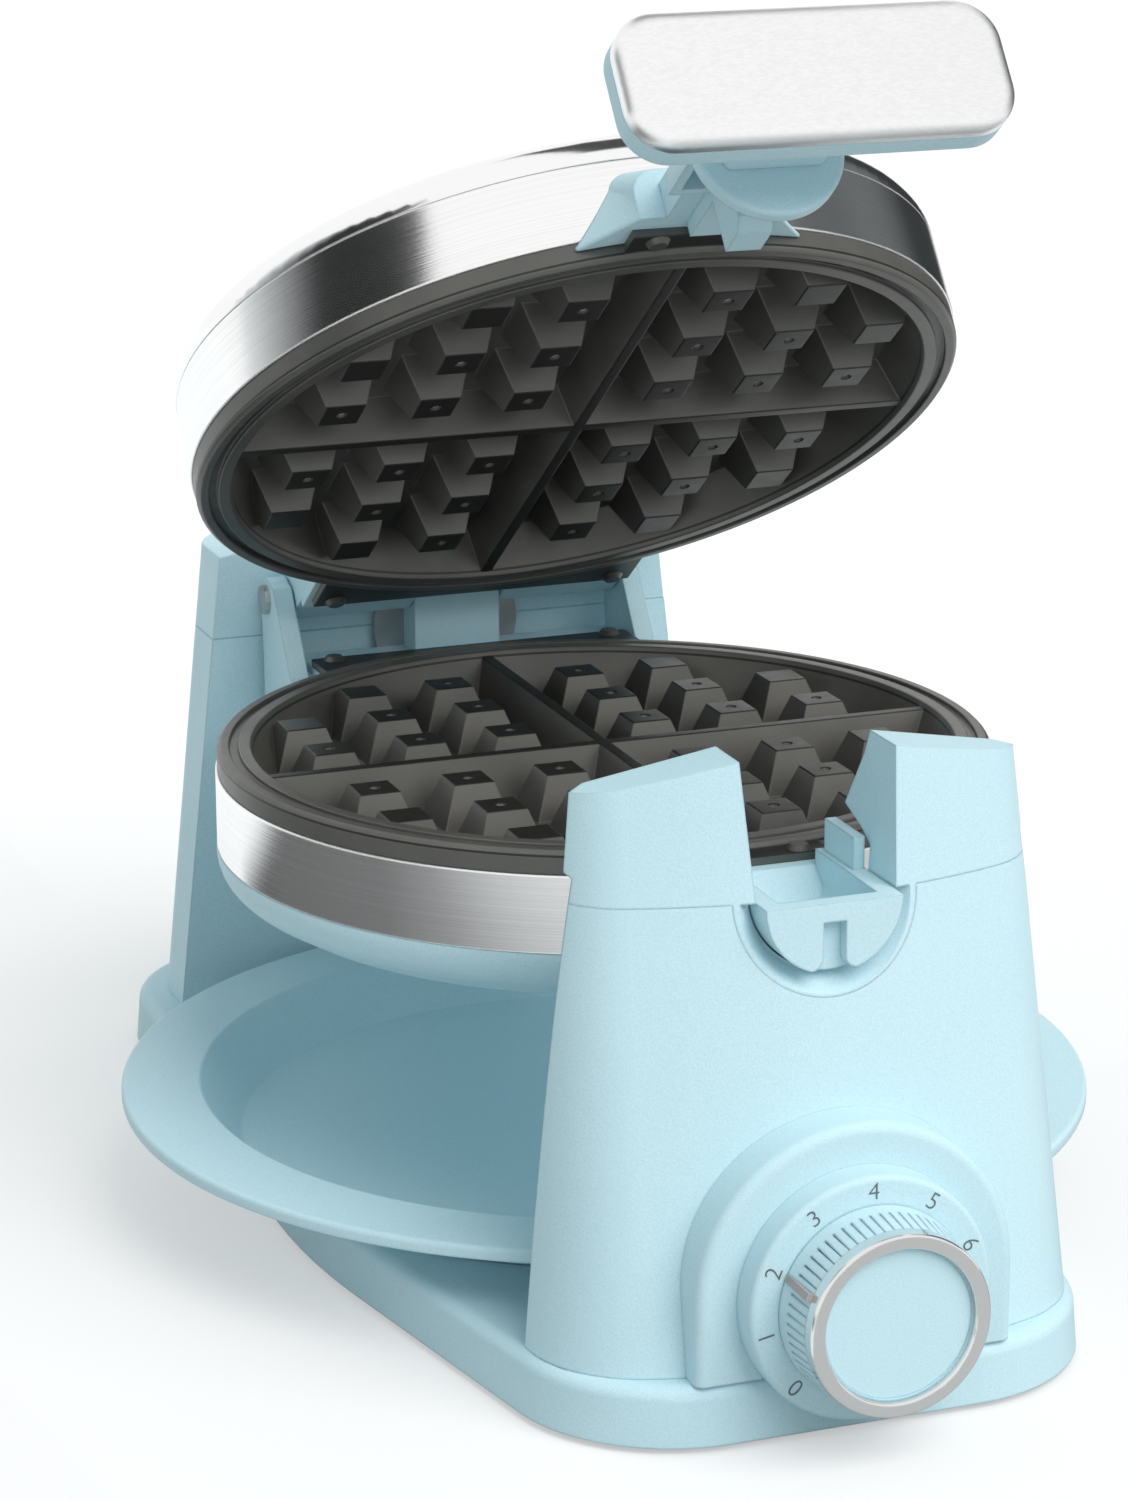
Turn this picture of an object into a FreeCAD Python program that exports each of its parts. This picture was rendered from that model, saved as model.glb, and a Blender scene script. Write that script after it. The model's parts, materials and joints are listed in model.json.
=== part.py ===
import FreeCAD, Part
import math
import os

# Rotating waffle maker: a tapered base carries two towers, and a round two-plate head
# turns between them on a front cradle and a rear journal.  Millimetres, +Z up, dial at -Y.
V = FreeCAD.Vector

# Clearances
SLIDE_GAP = 0.3      # between faces of pieces that move past each other
RUN_GAP = 0.05       # radial, shaft in hole
PLATE_GAP = 0.5      # between the two plate rims with the lid shut

# Base
WIDE_HALF = 94.0         # half width at the widest place
WIDE_Y = -30.0           # where the widest place is
FRONT_TAPER = 27.0       # how much narrower the front corners are, before rounding
REAR_TAPER = 2.0
FRONT_LEDGE = 3.0        # skirt ahead of the front tower's foot
REAR_LEDGE = 6.0
CORNER_R = 42.0          # plan radius of the four corners
FLANK_R = 260.0          # plan radius where each flank bends
SKIRT_Z = 1.6            # underside of the skirt
DECK_Z = 16.5            # top of the base
SKIRT_DRAFT = 1.2        # how far the skirt leans in
SKIRT_ROUND = 3.5        # rounded top edge of the skirt
WALL = 3.0               # moulded wall
COVER_T = 2.4            # bottom cover
COVER_Z = 2.2            # underside of the bottom cover
FOOT_R = 9.0             # rubber foot
FOOT_X = 52.0
FOOT_INSET = 43.0        # front foot from the front of the skirt
REAR_FOOT_INSET = 54.0
PEG_R = 3.0              # peg of a foot, in a hole of the cover
SCREW_R = 1.75           # shank of every tapping screw
SCREW_HEAD_R = 3.4
SCREW_HEAD_T = 2.2
BOSS_R = 5.0             # post that a screw bites into

# Flip axis and head
AXIS_Z = 127.3           # flip axis, in the parting plane of the two plates
PLATE_R = 103.0          # rim of a grill plate
RIM_H = 6.5              # depth of the plate's dark edge
RIM_T = 3.0              # thickness of the plate
RIM_W = 9.0              # flat rim round the cavity
CAVITY_DRAFT = 6.0       # how far the cavity wall leans in
CAVITY_H = 13.0          # depth of the cavity
GROOVE_IN = 4.5          # overflow groove from the edge of the rim
GROOVE_W = 2.4
GROOVE_H = 1.2
PEG_PITCH = 25.5         # waffle pegs: first row from the ridge, and pitch
PEG_FIRST = 19.5
PEG_ROWS = 3
PEG_FOOT = 9.6           # half sizes of a peg
PEG_TOP = 5.4
PEG_SHY = 1.5            # peg tops and ridge below the parting plane
DIMPLE_R = 1.3           # round mark in the top of each full peg
DIMPLE_H = 0.9
RIDGE_FOOT = 5.0         # half widths of the cross ridge
RIDGE_TOP = 1.6
BAND_PROUD = 0.5         # steel bands outside the plate's edge
BAND_T = 0.9
BAND_H = 20.4
LOWER_SHELL_T = 2.4      # moulded lower shell
LID_COVER_T = 1.0        # pressed lid cover
LEDGE_W = 4.0            # ledge inside a shell that holds the reflector
LEDGE_H = 25.5           # depth of that ledge from the parting plane
SHOULDER_IN = 7.0        # where a shell turns from its side into its end, inside the band
CROWN_IN = 16.0          # width of the sloping shoulder
CROWN_RISE = 1.5         # crown of the end
LOWER_SHELL_H = 45.0     # depth of the lower shell
LID_COVER_H = 43.0       # height of the lid cover
HEATER_R = 62.0          # tubular heater ring
HEATER_TUBE_R = 3.6
HEATER_GAP_DEG = 34.0
REFLECTOR_T = 0.6

# Plate tabs and brackets
TAB_DROP = 1.7           # tab top below the parting plane
TAB_T = 2.4
TAB_OUT = 6.0            # tabs beyond the plate's edge
FRONT_TAB_HALF = 18.0
FRONT_RIVET_X = 11.0
REAR_TAB_HALF = 48.0
REAR_RIVET_X = 42.0
RIVET_R = 1.8
RIVET_HEAD_R = 3.2
RIVET_HEAD_T = 1.2
RIVET_DEPTH = 6.0
WING_OUT = 10.5          # wings that clasp the bands: front of a wing beyond the band
WING_GRASP = 13.5        # and how far back round the band it reaches
WING_ROOT_HALF = 38.0
WING_ROOT_H = 29.0
WING_ROUND = 7.0

# Front trunnion and the lid's bracket
TRUNNION_R = 17.6
TRUNNION_PROUD = 4.4     # half disc ahead of the tower's face
POCKET_HALF = 12.6
POCKET_WALL = 4.6        # front wall of the pocket
POCKET_STEP = 5.0        # back of the pocket behind the tower's inner face
POCKET_H = 15.4
POCKET_T = 2.6           # round wall left under the pocket
POCKET_LIP = 1.5         # ramp behind the pocket ends this far short of the wing's front
NOTCH_W = 5.8
LOBE_R = 3.0             # round at each side of the notch's mouth
NOTCH_TOP = 4.8          # top of the notch below the axis
NOTCH_DEPTH = 3.4
CHEEK_IN = 14.2          # little walls beside the pocket
CHEEK_OUT = 17.2
CHEEK_H = 8.0
HOOD_R = 17.2
HOOD_T = 2.6
NECK_HALF = 10.5
NECK_TOP = 13.6
TONGUE_HALF = 4.5
TONGUE_L = 12.0
TONGUE_PLAY = 2.0        # tongue from the back of the pocket
TONGUE_H = 13.4
DISC_R = 19.0
DISC_T = 3.6
DISC_ROUND = 1.2
DISC_GAP = 0.6           # disc ahead of the half disc

# Handle
HANDLE_HALF = 47.5
HANDLE_HALF_H = 17.0
HANDLE_CORNER = 11.0
HANDLE_DROP = 1.0        # handle's middle below the parting plane
HANDLE_REACH = 27.6      # back of the grip ahead of the half disc
GRIP_T = 7.2
FACE_T = 4.8
FACE_ROUND = 2.6
GRIP_ROUND = 2.4
STEM_HALF = 13.0
STEM_BELOW = 7.0
STEM_ABOVE = 13.0
HANDLE_SCREW_X = 30.0
HANDLE_SCREW_BITE = 3.0

# Lid hinge, measured from the rear tower's inner face
HINGE_IN = 7.3
HINGE_RISE = 12.5        # hinge axis above the parting plane
OPEN_DEG = 36.8          # lid angle at rest
PIN_R = 2.5
PIN_HEAD_R = 4.2
PIN_HEAD_T = 1.5
KNUCKLE_R = 6.2
LID_HINGE_HALF = 49.6
EAR_T = 5.6
MID_KNUCKLE_HALF = 13.0
BRACKET_GAP = 3.0        # back of the hinge bracket
BRACKET_DROP = 24.0      # underside of the hinge bracket below the parting plane
BRACKET_TOP = 6.0        # its shelf below the parting plane
JOURNAL_R = 14.0
JOURNAL_IN = 11.8        # end of the journal
JOURNAL_FLANGE_R = 22.0
JOURNAL_FLANGE_T = 1.8
WIRE_R = 5.0             # hollow of the journal, for the lid's leads
BEARING_R = 19.0
BEARING_SUNK = 0.9       # front of the bearing
BEARING_L = 11.5

# Towers
HORN_RISE = 33.7         # top of the towers above the flip axis
FRONT_GAP = 1.0          # inner faces of the towers clear of the tray
REAR_GAP = 2.6
FRONT_FOOT_DEPTH = 36.0  # front tower: depths from its inner face, widths and corner radii
FRONT_TOP_DEPTH = 11.2
FRONT_FLARE = 3.5        # foot wider than the skirt's front corners
FRONT_LEAN = 11.0        # each side leans in
FRONT_FOOT_CORNER = 30.0
FRONT_TOP_CORNER = 18.0
REAR_FOOT_DEPTH = 46.4
REAR_TOP_DEPTH = 38.4
REAR_SETBACK = 9.5       # foot narrower than the skirt's rear corners
REAR_LEAN = 16.0
REAR_FOOT_CORNER = 20.0
REAR_TOP_CORNER = 11.0
CAVITY_DROP = 27.3       # the towers are hollow up to this far below the axis
HORN_INNER_X = 20.0      # sloping horn tops
HORN_CREST = 0.5
HORN_FALL = 7.5
SADDLE_R = 23.6          # arc of the seam round the cradle
CRADLE_GAP = 0.4
SLOT_TOP_HALF = 20.2
DISH_DEPTH = 6.0
DISH_EDGE = 0.4          # left between the dish and the seam
NOSE_REACH = 16.0        # horn nose that leans over the head
NOSE_HALF = 38.0         # where the nose starts to fall back
NOSE_UNDER = 6.0         # heights of its profile above the axis
NOSE_BEND = 9.0
NOSE_TIP = 12.0
NOSE_BROW = 26.5
NOSE_TOP_IN = 4.5
CAP_SCREW_X = 32.0
CAP_SCREW_BITE = 15.0
TOWER_SCREW_X = 44.0

# Dial
DIAL_RISE = 20.0         # dial's middle above the deck
KNOB_R = 24.0
KNOB_TAPER = 1.4
BOSS_RIM = 7.0           # boss wider than the knob
BOSS_PROUD = 10.0        # boss ahead of the tower's foot
BOSS_ROUND = 1.5
ARCH_RIM = 10.0          # arch wider than the boss
ARCH_PROUD = 1.6
ARCH_ROUND = 2.6
KNOB_H = 17.0
RING_PROUD = 1.6         # ring ahead of the knob's face
RING_OVER = 0.3
RING_W = 3.8
RING_T = 4.0
RING_ROUND = 0.8
CAP_SUNK = 2.2           # knob cap below the ring's face
CAP_PLAY = 0.4
POINTER_W = 1.8
POINTER_T = 0.7
SPINDLE_R = 3.0
SPINDLE_STOP = 4.6
BUSH_R = 4.8
NUT_R = 7.5
NUT_T = 2.4
THERMOSTAT_R = 15.0
THERMOSTAT_TAB_X = 7.0
THERMOSTAT_TAB_T = 2.0
THERMOSTAT_TAB_W = 6.0
POINTER_DEG = -67.5      # pointer from the top, clockwise from the front
KNOB_GROOVES = 60
GROOVE_CUT = 0.4
GROOVE_STOP = 4.0        # plain band left at the foot of the knob

# Drip tray
TRAY_OVERHANG = 27.5     # tray rim outside the steel band
TRAY_RIM_H = 17.0        # rim above the deck
TRAY_RIM_W = 21.3
TRAY_WALL_RUN = 10.7     # how far the sloping wall runs in
TRAY_T = 2.0
TRAY_LIP = 1.6
TRAY_EDGE = 0.8          # chamfer of the rim

# Service parts
GLAND_R = 7.0
GLAND_RISE = 17.5        # mains lead above the deck
GLAND_BORE = 3.6
GLAND_LIP = 2.2
TERMINAL_L = 34.0
TERMINAL_W = 14.0
TERMINAL_H = 12.0
TERMINAL_WAY_R = 1.8

# Worked out from the sizes above: the head's radii, then outwards to the tray, towers and base
CAVITY_R = PLATE_R - RIM_W
CAVITY_FLOOR_R = CAVITY_R - CAVITY_DRAFT
GROOVE_R = PLATE_R - GROOVE_IN
TAB_REACH = PLATE_R + TAB_OUT
BAND_R = PLATE_R + BAND_PROUD
SHELL_SHOULDER_R = BAND_R - SHOULDER_IN
WING_REACH = BAND_R + WING_OUT
WING_BACK = BAND_R - WING_GRASP
TRAY_R = BAND_R + TRAY_OVERHANG
TRAY_IN_R = TRAY_R - TRAY_RIM_W
TRAY_FLOOR_R = TRAY_IN_R - TRAY_WALL_RUN
TRAY_RIM_Z = DECK_Z + TRAY_RIM_H

FRONT_INNER = TRAY_R + FRONT_GAP
FRONT_FOOT_REACH = FRONT_INNER + FRONT_FOOT_DEPTH
FRONT_TOP_REACH = FRONT_INNER + FRONT_TOP_DEPTH
REAR_INNER = TRAY_R + REAR_GAP
REAR_FOOT_REACH = REAR_INNER + REAR_FOOT_DEPTH
REAR_TOP_REACH = REAR_INNER + REAR_TOP_DEPTH
FRONT_REACH = FRONT_FOOT_REACH + FRONT_LEDGE
REAR_REACH = REAR_FOOT_REACH + REAR_LEDGE
FRONT_HALF = WIDE_HALF - FRONT_TAPER
REAR_HALF = WIDE_HALF - REAR_TAPER
FRONT_FOOT_HALF = FRONT_HALF + FRONT_FLARE
FRONT_TOP_HALF = FRONT_FOOT_HALF - FRONT_LEAN
REAR_FOOT_HALF = REAR_HALF - REAR_SETBACK
REAR_TOP_HALF = REAR_FOOT_HALF - REAR_LEAN
TOWER_BACK = BAND_R - 2 * WALL    # how far in the tower blocks reach before they are trimmed
TOWER_TOP = AXIS_Z + HORN_RISE
CAVITY_TOP = AXIS_Z - CAVITY_DROP
CRADLE_R = TRUNNION_R + CRADLE_GAP
COVER_TOP = COVER_Z + COVER_T

AXIS_SHARE = (AXIS_Z - DECK_Z) / (TOWER_TOP - DECK_Z)    # height of the axis up the towers
FRONT_FACE = FRONT_FOOT_REACH + (FRONT_TOP_REACH - FRONT_FOOT_REACH) * AXIS_SHARE
TRUNNION_REACH = FRONT_FACE + TRUNNION_PROUD
POCKET_FRONT = TRUNNION_REACH - POCKET_WALL
POCKET_BACK = FRONT_INNER - POCKET_STEP
POCKET_RAMP = WING_REACH - POCKET_LIP
TONGUE_BACK = POCKET_BACK + TONGUE_PLAY
TONGUE_FRONT = TONGUE_BACK + TONGUE_L
HOOD_BACK = FRONT_INNER + FRONT_GAP
GRIP_BACK = TRUNNION_REACH + HANDLE_REACH
HANDLE_Z = AXIS_Z - HANDLE_DROP

HINGE_Y = REAR_INNER - HINGE_IN
HINGE_Z = AXIS_Z + HINGE_RISE
BRACKET_BACK = REAR_INNER - BRACKET_GAP
JOURNAL_END = REAR_INNER + JOURNAL_IN
BEARING_FRONT = REAR_INNER + BEARING_SUNK
BEARING_BACK = BEARING_FRONT + BEARING_L

DIAL_Z = DECK_Z + DIAL_RISE
BOSS_DIAL_R = KNOB_R + BOSS_RIM
BOSS_FACE = FRONT_FOOT_REACH + BOSS_PROUD
ARCH_R = BOSS_DIAL_R + ARCH_RIM
ARCH_FACE = FRONT_FOOT_REACH + ARCH_PROUD
RING_FACE = BOSS_FACE + KNOB_H
KNOB_FACE = RING_FACE - RING_PROUD
KNOB_NECK_R = KNOB_R - KNOB_TAPER
RING_R = KNOB_NECK_R + RING_OVER
RING_IN_R = RING_R - RING_W
GLAND_Z = DECK_Z + GLAND_RISE
CENTRE_Y = (RING_FACE - REAR_REACH) / 2.0


# Small building blocks

def box(x0, x1, y0, y1, z0, z1):
    return Part.makeBox(x1 - x0, y1 - y0, z1 - z0, V(x0, y0, z0))


def rod_x(r, x0, x1, y, z):
    return Part.makeCylinder(r, x1 - x0, V(x0, y, z), V(1, 0, 0))


def rod_y(r, y0, y1, x, z):
    return Part.makeCylinder(r, y1 - y0, V(x, y0, z), V(0, 1, 0))


def rod_z(r, z0, z1, x=0.0, y=0.0):
    return Part.makeCylinder(r, z1 - z0, V(x, y, z0))


def cone_y(r0, r1, y0, y1, x, z):
    return Part.makeCone(r0, r1, y1 - y0, V(x, y0, z), V(0, 1, 0))


def mix(a, b, t):
    return a + (b - a) * t


def face_of(points):
    return Part.Face(Part.makePolygon(points + [points[0]]))


def slab_x(points, x0, x1):
    """Side profile of (y, z) points, extruded from x0 to x1."""
    return face_of([V(x0, y, z) for y, z in points]).extrude(V(x1 - x0, 0, 0))


def slab_y(points, y0, y1):
    """Front profile of (x, z) points, extruded from y0 to y1."""
    return face_of([V(x, y0, z) for x, z in points]).extrude(V(0, y1 - y0, 0))


def slab_z(points, z0, z1):
    """Plan profile of (x, y) points, extruded from z0 to z1."""
    return face_of([V(x, y, z0) for x, y in points]).extrude(V(0, 0, z1 - z0))


def turned(points):
    """Profile of (radius, z) points, revolved about the vertical axis."""
    return face_of([V(r, 0, z) for r, z in points]).revolve(V(0, 0, 0), V(0, 0, 1), 360)


def joined(shapes):
    first = shapes[0]
    return first.multiFuse(shapes[1:]).removeSplitter()


def half_turn(shape):
    """The same piece on the other side of the parting plane, turned about the flip axis."""
    other = shape.copy()
    other.rotate(V(0, 0, AXIS_Z), V(0, 1, 0), 180)
    return other


def single(shape):
    return shape.Solids[0] if len(shape.Solids) == 1 else shape


def edges_at(shape, test):
    return [e for e in shape.Edges if all(test(v.Point) for v in e.Vertexes)]


def rounded_wire(points, radii, z):
    """Closed plan outline through (x, y) corners, each rounded by its own radius."""
    edges = []
    ends = []
    count = len(points)
    for i in range(count):
        corner = V(points[i][0], points[i][1], z)
        before = V(points[i - 1][0], points[i - 1][1], z) - corner
        after = V(points[(i + 1) % count][0], points[(i + 1) % count][1], z) - corner
        before.normalize()
        after.normalize()
        half = before.getAngle(after) / 2.0
        reach = radii[i] / math.tan(half)
        towards = before + after
        towards.normalize()
        middle = corner + towards * (radii[i] / math.sin(half) - radii[i])
        start = corner + before * reach
        end = corner + after * reach
        edges.append(Part.Arc(start, middle, end).toShape())
        ends.append((start, end))
    for i in range(count):
        edges.append(Part.LineSegment(ends[i][1], ends[(i + 1) % count][0]).toShape())
    return Part.Wire(Part.__sortEdges__(edges))


def inset_points(points, inset):
    """The same polygon with every side moved in by inset (anticlockwise corners)."""
    lines = []
    count = len(points)
    for i in range(count):
        a = V(points[i][0], points[i][1], 0)
        b = V(points[(i + 1) % count][0], points[(i + 1) % count][1], 0)
        along = b - a
        along.normalize()
        lines.append((a + V(-along.y, along.x, 0) * inset, along))
    moved = []
    for i in range(count):
        (p, d), (q, e) = lines[i - 1], lines[i]
        t = ((q.x - p.x) * e.y - (q.y - p.y) * e.x) / (d.x * e.y - d.y * e.x)
        moved.append((p.x + d.x * t, p.y + d.y * t))
    return moved


# Base

def base_wire(inset, z):
    corners = [(-FRONT_HALF, -FRONT_REACH), (FRONT_HALF, -FRONT_REACH), (WIDE_HALF, WIDE_Y),
               (REAR_HALF, REAR_REACH), (-REAR_HALF, REAR_REACH), (-WIDE_HALF, WIDE_Y)]
    radii = [r - inset for r in (CORNER_R, CORNER_R, FLANK_R, CORNER_R, CORNER_R, FLANK_R)]
    return rounded_wire(inset_points(corners, inset), radii, z)


def base_block():
    block = Part.makeLoft([base_wire(0.0, SKIRT_Z), base_wire(SKIRT_DRAFT, DECK_Z)], True, True)
    return block.makeFillet(SKIRT_ROUND, edges_at(block, lambda p: abs(p.z - DECK_Z) < 1e-6))


def foot_places():
    ys = (FOOT_INSET - FRONT_REACH, REAR_REACH - REAR_FOOT_INSET)
    return [(sx * FOOT_X, y) for sx in (-1, 1) for y in ys]


def cover_screw_places():
    return [(math.copysign(abs(x) - 2 * FOOT_R, x), y) for x, y in foot_places()]


def tower_screw_places():
    front = FRONT_INNER + BOSS_R + WALL / 2
    rear = REAR_INNER + BOSS_R + WALL / 2
    return [(sx * TOWER_SCREW_X, y) for sx in (-1, 1) for y in (-front, rear)]


def base_housing():
    inner = [base_wire(WALL, SKIRT_Z), base_wire(WALL + SKIRT_DRAFT, DECK_Z - WALL)]
    shell = base_block().cut(Part.makeLoft(inner, True, True))
    posts = [rod_z(BOSS_R, COVER_TOP, DECK_Z - WALL, x, y) for x, y in cover_screw_places()]
    shell = joined([shell] + posts)
    holes = [rod_z(SCREW_R, COVER_TOP, DECK_Z - WALL, x, y) for x, y in cover_screw_places()]
    holes += [rod_z(SCREW_R, DECK_Z - WALL, DECK_Z, x, y) for x, y in tower_screw_places()]
    return shell.cut(holes)


def base_cover():
    outline = [base_wire(WALL + SLIDE_GAP, COVER_Z), base_wire(WALL + SLIDE_GAP + SKIRT_DRAFT, COVER_TOP)]
    plate = Part.makeLoft(outline, True, True)
    holes = [rod_z(PEG_R, COVER_Z, COVER_TOP, x, y) for x, y in foot_places()]
    holes += [rod_z(SCREW_R, COVER_Z, COVER_TOP, x, y) for x, y in cover_screw_places()]
    return plate.cut(holes)


def rubber_feet():
    feet = []
    for x, y in foot_places():
        pad = Part.makeCone(FOOT_R - COVER_Z / 2, FOOT_R, COVER_Z, V(x, y, 0))
        feet.append(pad.fuse(rod_z(PEG_R, COVER_Z, COVER_TOP, x, y)))
    return Part.makeCompound(feet)


def screw_up(x, y, z_seat, bite):
    """Tapping screw with its head under z_seat and its shank upwards."""
    head = rod_z(SCREW_HEAD_R, z_seat - SCREW_HEAD_T, z_seat, x, y)
    return head.fuse(rod_z(SCREW_R, z_seat, z_seat + bite, x, y))


def base_screws():
    bite = COVER_T + BOSS_R
    head_t = COVER_Z - SKIRT_Z
    screws = []
    for x, y in cover_screw_places():
        head = rod_z(SCREW_HEAD_R, COVER_Z - head_t, COVER_Z, x, y)
        screws.append(head.fuse(rod_z(SCREW_R, COVER_Z, COVER_Z + bite, x, y)))
    return Part.makeCompound(screws)


def tower_screws():
    bite = WALL + 2 * BOSS_R
    return Part.makeCompound([screw_up(x, y, DECK_Z - WALL, bite) for x, y in tower_screw_places()])


# Towers

FRONT = dict(side=-1, inner=FRONT_INNER, foot_half=FRONT_FOOT_HALF, top_half=FRONT_TOP_HALF,
             foot_reach=FRONT_FOOT_REACH, top_reach=FRONT_TOP_REACH,
             foot_corner=FRONT_FOOT_CORNER, top_corner=FRONT_TOP_CORNER)
REAR = dict(side=1, inner=REAR_INNER, foot_half=REAR_FOOT_HALF, top_half=REAR_TOP_HALF,
            foot_reach=REAR_FOOT_REACH, top_reach=REAR_TOP_REACH,
            foot_corner=REAR_FOOT_CORNER, top_corner=REAR_TOP_CORNER)


def tower_wire(spec, z, inset):
    """Plan outline of a tower: its outer face is round about the head's centre."""
    t = (z - DECK_Z) / (TOWER_TOP - DECK_Z)
    half = mix(spec["foot_half"], spec["top_half"], t) - inset
    reach = mix(spec["foot_reach"], spec["top_reach"], t) - inset
    corner = mix(spec["foot_corner"], spec["top_corner"], t) - inset
    side = spec["side"]
    cx = half - corner
    cy = math.sqrt((reach - corner) ** 2 - cx ** 2)
    lean = math.atan2(cy, cx)

    def at(x, y):
        return V(x, side * y, z)

    def on_corner(sign, angle):
        return at(sign * (cx + corner * math.cos(angle)), cy + corner * math.sin(angle))

    edges = [
        Part.LineSegment(at(-half, TOWER_BACK), at(half, TOWER_BACK)),
        Part.LineSegment(at(half, TOWER_BACK), at(half, cy)),
        Part.Arc(on_corner(1, 0), on_corner(1, lean / 2), on_corner(1, lean)),
        Part.Arc(on_corner(1, lean), at(0, reach), on_corner(-1, lean)),
        Part.Arc(on_corner(-1, lean), on_corner(-1, lean / 2), on_corner(-1, 0)),
        Part.LineSegment(at(-half, cy), at(-half, TOWER_BACK)),
    ]
    return Part.Wire([e.toShape() for e in edges])


def tower_block(spec, z0, z1, inset=0.0):
    return Part.makeLoft([tower_wire(spec, z0, inset), tower_wire(spec, z1, inset)], True, True)


def y_range(spec, near, far):
    a = spec["side"] * near
    b = spec["side"] * far
    return min(a, b), max(a, b)


def tower_slab(spec, near, far, z0, z1):
    """A plain block as wide as the base, between two distances from the head's centre."""
    y0, y1 = y_range(spec, near, far)
    return box(-WIDE_HALF, WIDE_HALF, y0, y1, z0, z1)


def tower_shell(spec):
    """Lower part of a tower, up to the seam, hollow inside with posts for its screws."""
    inner = spec["inner"]
    body = tower_block(spec, DECK_Z, AXIS_Z)
    body = body.cut(tower_slab(spec, 0, inner, DECK_Z, AXIS_Z))
    hollow = tower_block(spec, DECK_Z, CAVITY_TOP, WALL)
    hollow = hollow.cut(tower_slab(spec, 0, inner + WALL, DECK_Z, CAVITY_TOP))
    post_top = DECK_Z + 3 * BOSS_R
    posts = [rod_z(BOSS_R, DECK_Z, post_top, x, y) for x, y in tower_screw_places() if y * spec["side"] > 0]
    body = body.cut(hollow.cut(posts))
    holes = [rod_z(SCREW_R, DECK_Z, DECK_Z + 2 * BOSS_R, x, y) for x, y in tower_screw_places()]
    holes += [rod_z(SCREW_R, CAVITY_TOP, AXIS_Z, x, y) for x, y in cap_screw_places(spec)]
    return body.cut(holes)


def cap_screw_places(spec):
    y = spec["side"] * (spec["inner"] + WALL + SCREW_HEAD_R + SLIDE_GAP)
    return [(sx * CAP_SCREW_X, y) for sx in (-1, 1)]


def horn_tops():
    """Everything above the sloping horn tops."""
    crest = TOWER_TOP - HORN_CREST
    slope = HORN_FALL / (FRONT_TOP_HALF - HORN_INNER_X)
    wide = WIDE_HALF
    edge_z = crest - slope * (wide - HORN_INNER_X)
    high = TOWER_TOP + WALL
    points = [(-wide, edge_z), (-HORN_INNER_X, crest), (HORN_INNER_X, crest), (wide, edge_z),
              (wide, high), (-wide, high)]
    return slab_y(points, -REAR_REACH, REAR_REACH)


def horn_profile(spec):
    """Side view of a cap: the front horns lean in over the head and are undercut below their noses."""
    inner = spec["inner"]
    points = [(inner, AXIS_Z), (inner, TOWER_TOP), (REAR_REACH, TOWER_TOP), (REAR_REACH, AXIS_Z)]
    if spec is FRONT:
        nose = inner - NOSE_REACH
        points = [(inner, AXIS_Z), (inner, AXIS_Z + NOSE_UNDER), (mix(inner, nose, 0.4), AXIS_Z + NOSE_BEND),
                  (nose, AXIS_Z + NOSE_TIP), (mix(inner, nose, 0.45), AXIS_Z + NOSE_BROW),
                  (inner - NOSE_TOP_IN, TOWER_TOP)] + points[2:]
    return slab_x([(spec["side"] * y, z) for y, z in points], -WIDE_HALF, WIDE_HALF)


def nose_sides():
    """Outer corners taken off the noses, so that they stand out only beside the slot."""
    corners = []
    for s in (-1, 1):
        points = [(s * NOSE_HALF, -WING_REACH), (s * WIDE_HALF, -WING_REACH), (s * WIDE_HALF, -FRONT_INNER),
                  (s * (FRONT_TOP_HALF + WALL), -FRONT_INNER)]
        corners.append(slab_z(points, AXIS_Z, TOWER_TOP + WALL))
    return corners


def tower_cap(spec):
    cap = tower_block(spec, DECK_Z, TOWER_TOP).common(horn_profile(spec)).cut(horn_tops())
    holes = [rod_z(SCREW_R, AXIS_Z, AXIS_Z + CAP_SCREW_BITE, x, y) for x, y in cap_screw_places(spec)]
    return cap.cut(holes)


def cradle_saddle():
    """Half round under the seam that carries the cradle, flush with the tower's face."""
    rod = rod_y(SADDLE_R, -FRONT_FOOT_REACH, -FRONT_INNER, 0, AXIS_Z)
    return rod.common(tower_block(FRONT, DECK_Z, AXIS_Z))


def cradle_dish():
    """Sunk cone round the cradle, square to the tower's leaning face, below the seam."""
    lean = math.atan2(FRONT_FOOT_REACH - FRONT_TOP_REACH, TOWER_TOP - DECK_Z)
    out = V(0, -math.cos(lean), math.sin(lean))
    edge_r = SADDLE_R - DISH_EDGE
    spread = (edge_r - CRADLE_R) / DISH_DEPTH
    start = V(0, -FRONT_FACE, AXIS_Z) - out * DISH_DEPTH
    cone = Part.makeCone(CRADLE_R, edge_r + spread * WALL, DISH_DEPTH + WALL, start, out)
    return cone.common(box(-WIDE_HALF, WIDE_HALF, -RING_FACE, 0, 0, AXIS_Z))


def front_cap():
    """Saddle piece with the open cradle that the front trunnion turns in."""
    cap = tower_cap(FRONT).fuse(cradle_saddle()).removeSplitter()
    front = -FRONT_FOOT_REACH
    slot = slab_y([(-CRADLE_R, AXIS_Z), (CRADLE_R, AXIS_Z), (SLOT_TOP_HALF, TOWER_TOP + WALL),
                   (-SLOT_TOP_HALF, TOWER_TOP + WALL)], front, -BAND_R)
    cradle = rod_y(CRADLE_R, front, -FRONT_INNER, 0, AXIS_Z)
    return single(cap.cut([slot, cradle, cradle_dish()] + nose_sides()))


def rear_cap():
    """Bridge over the rear bearing."""
    return single(tower_cap(REAR).cut(bearing_seat()))


def bearing_seat():
    return rod_y(BEARING_R, REAR_INNER, BEARING_BACK, 0, AXIS_Z)


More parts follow.
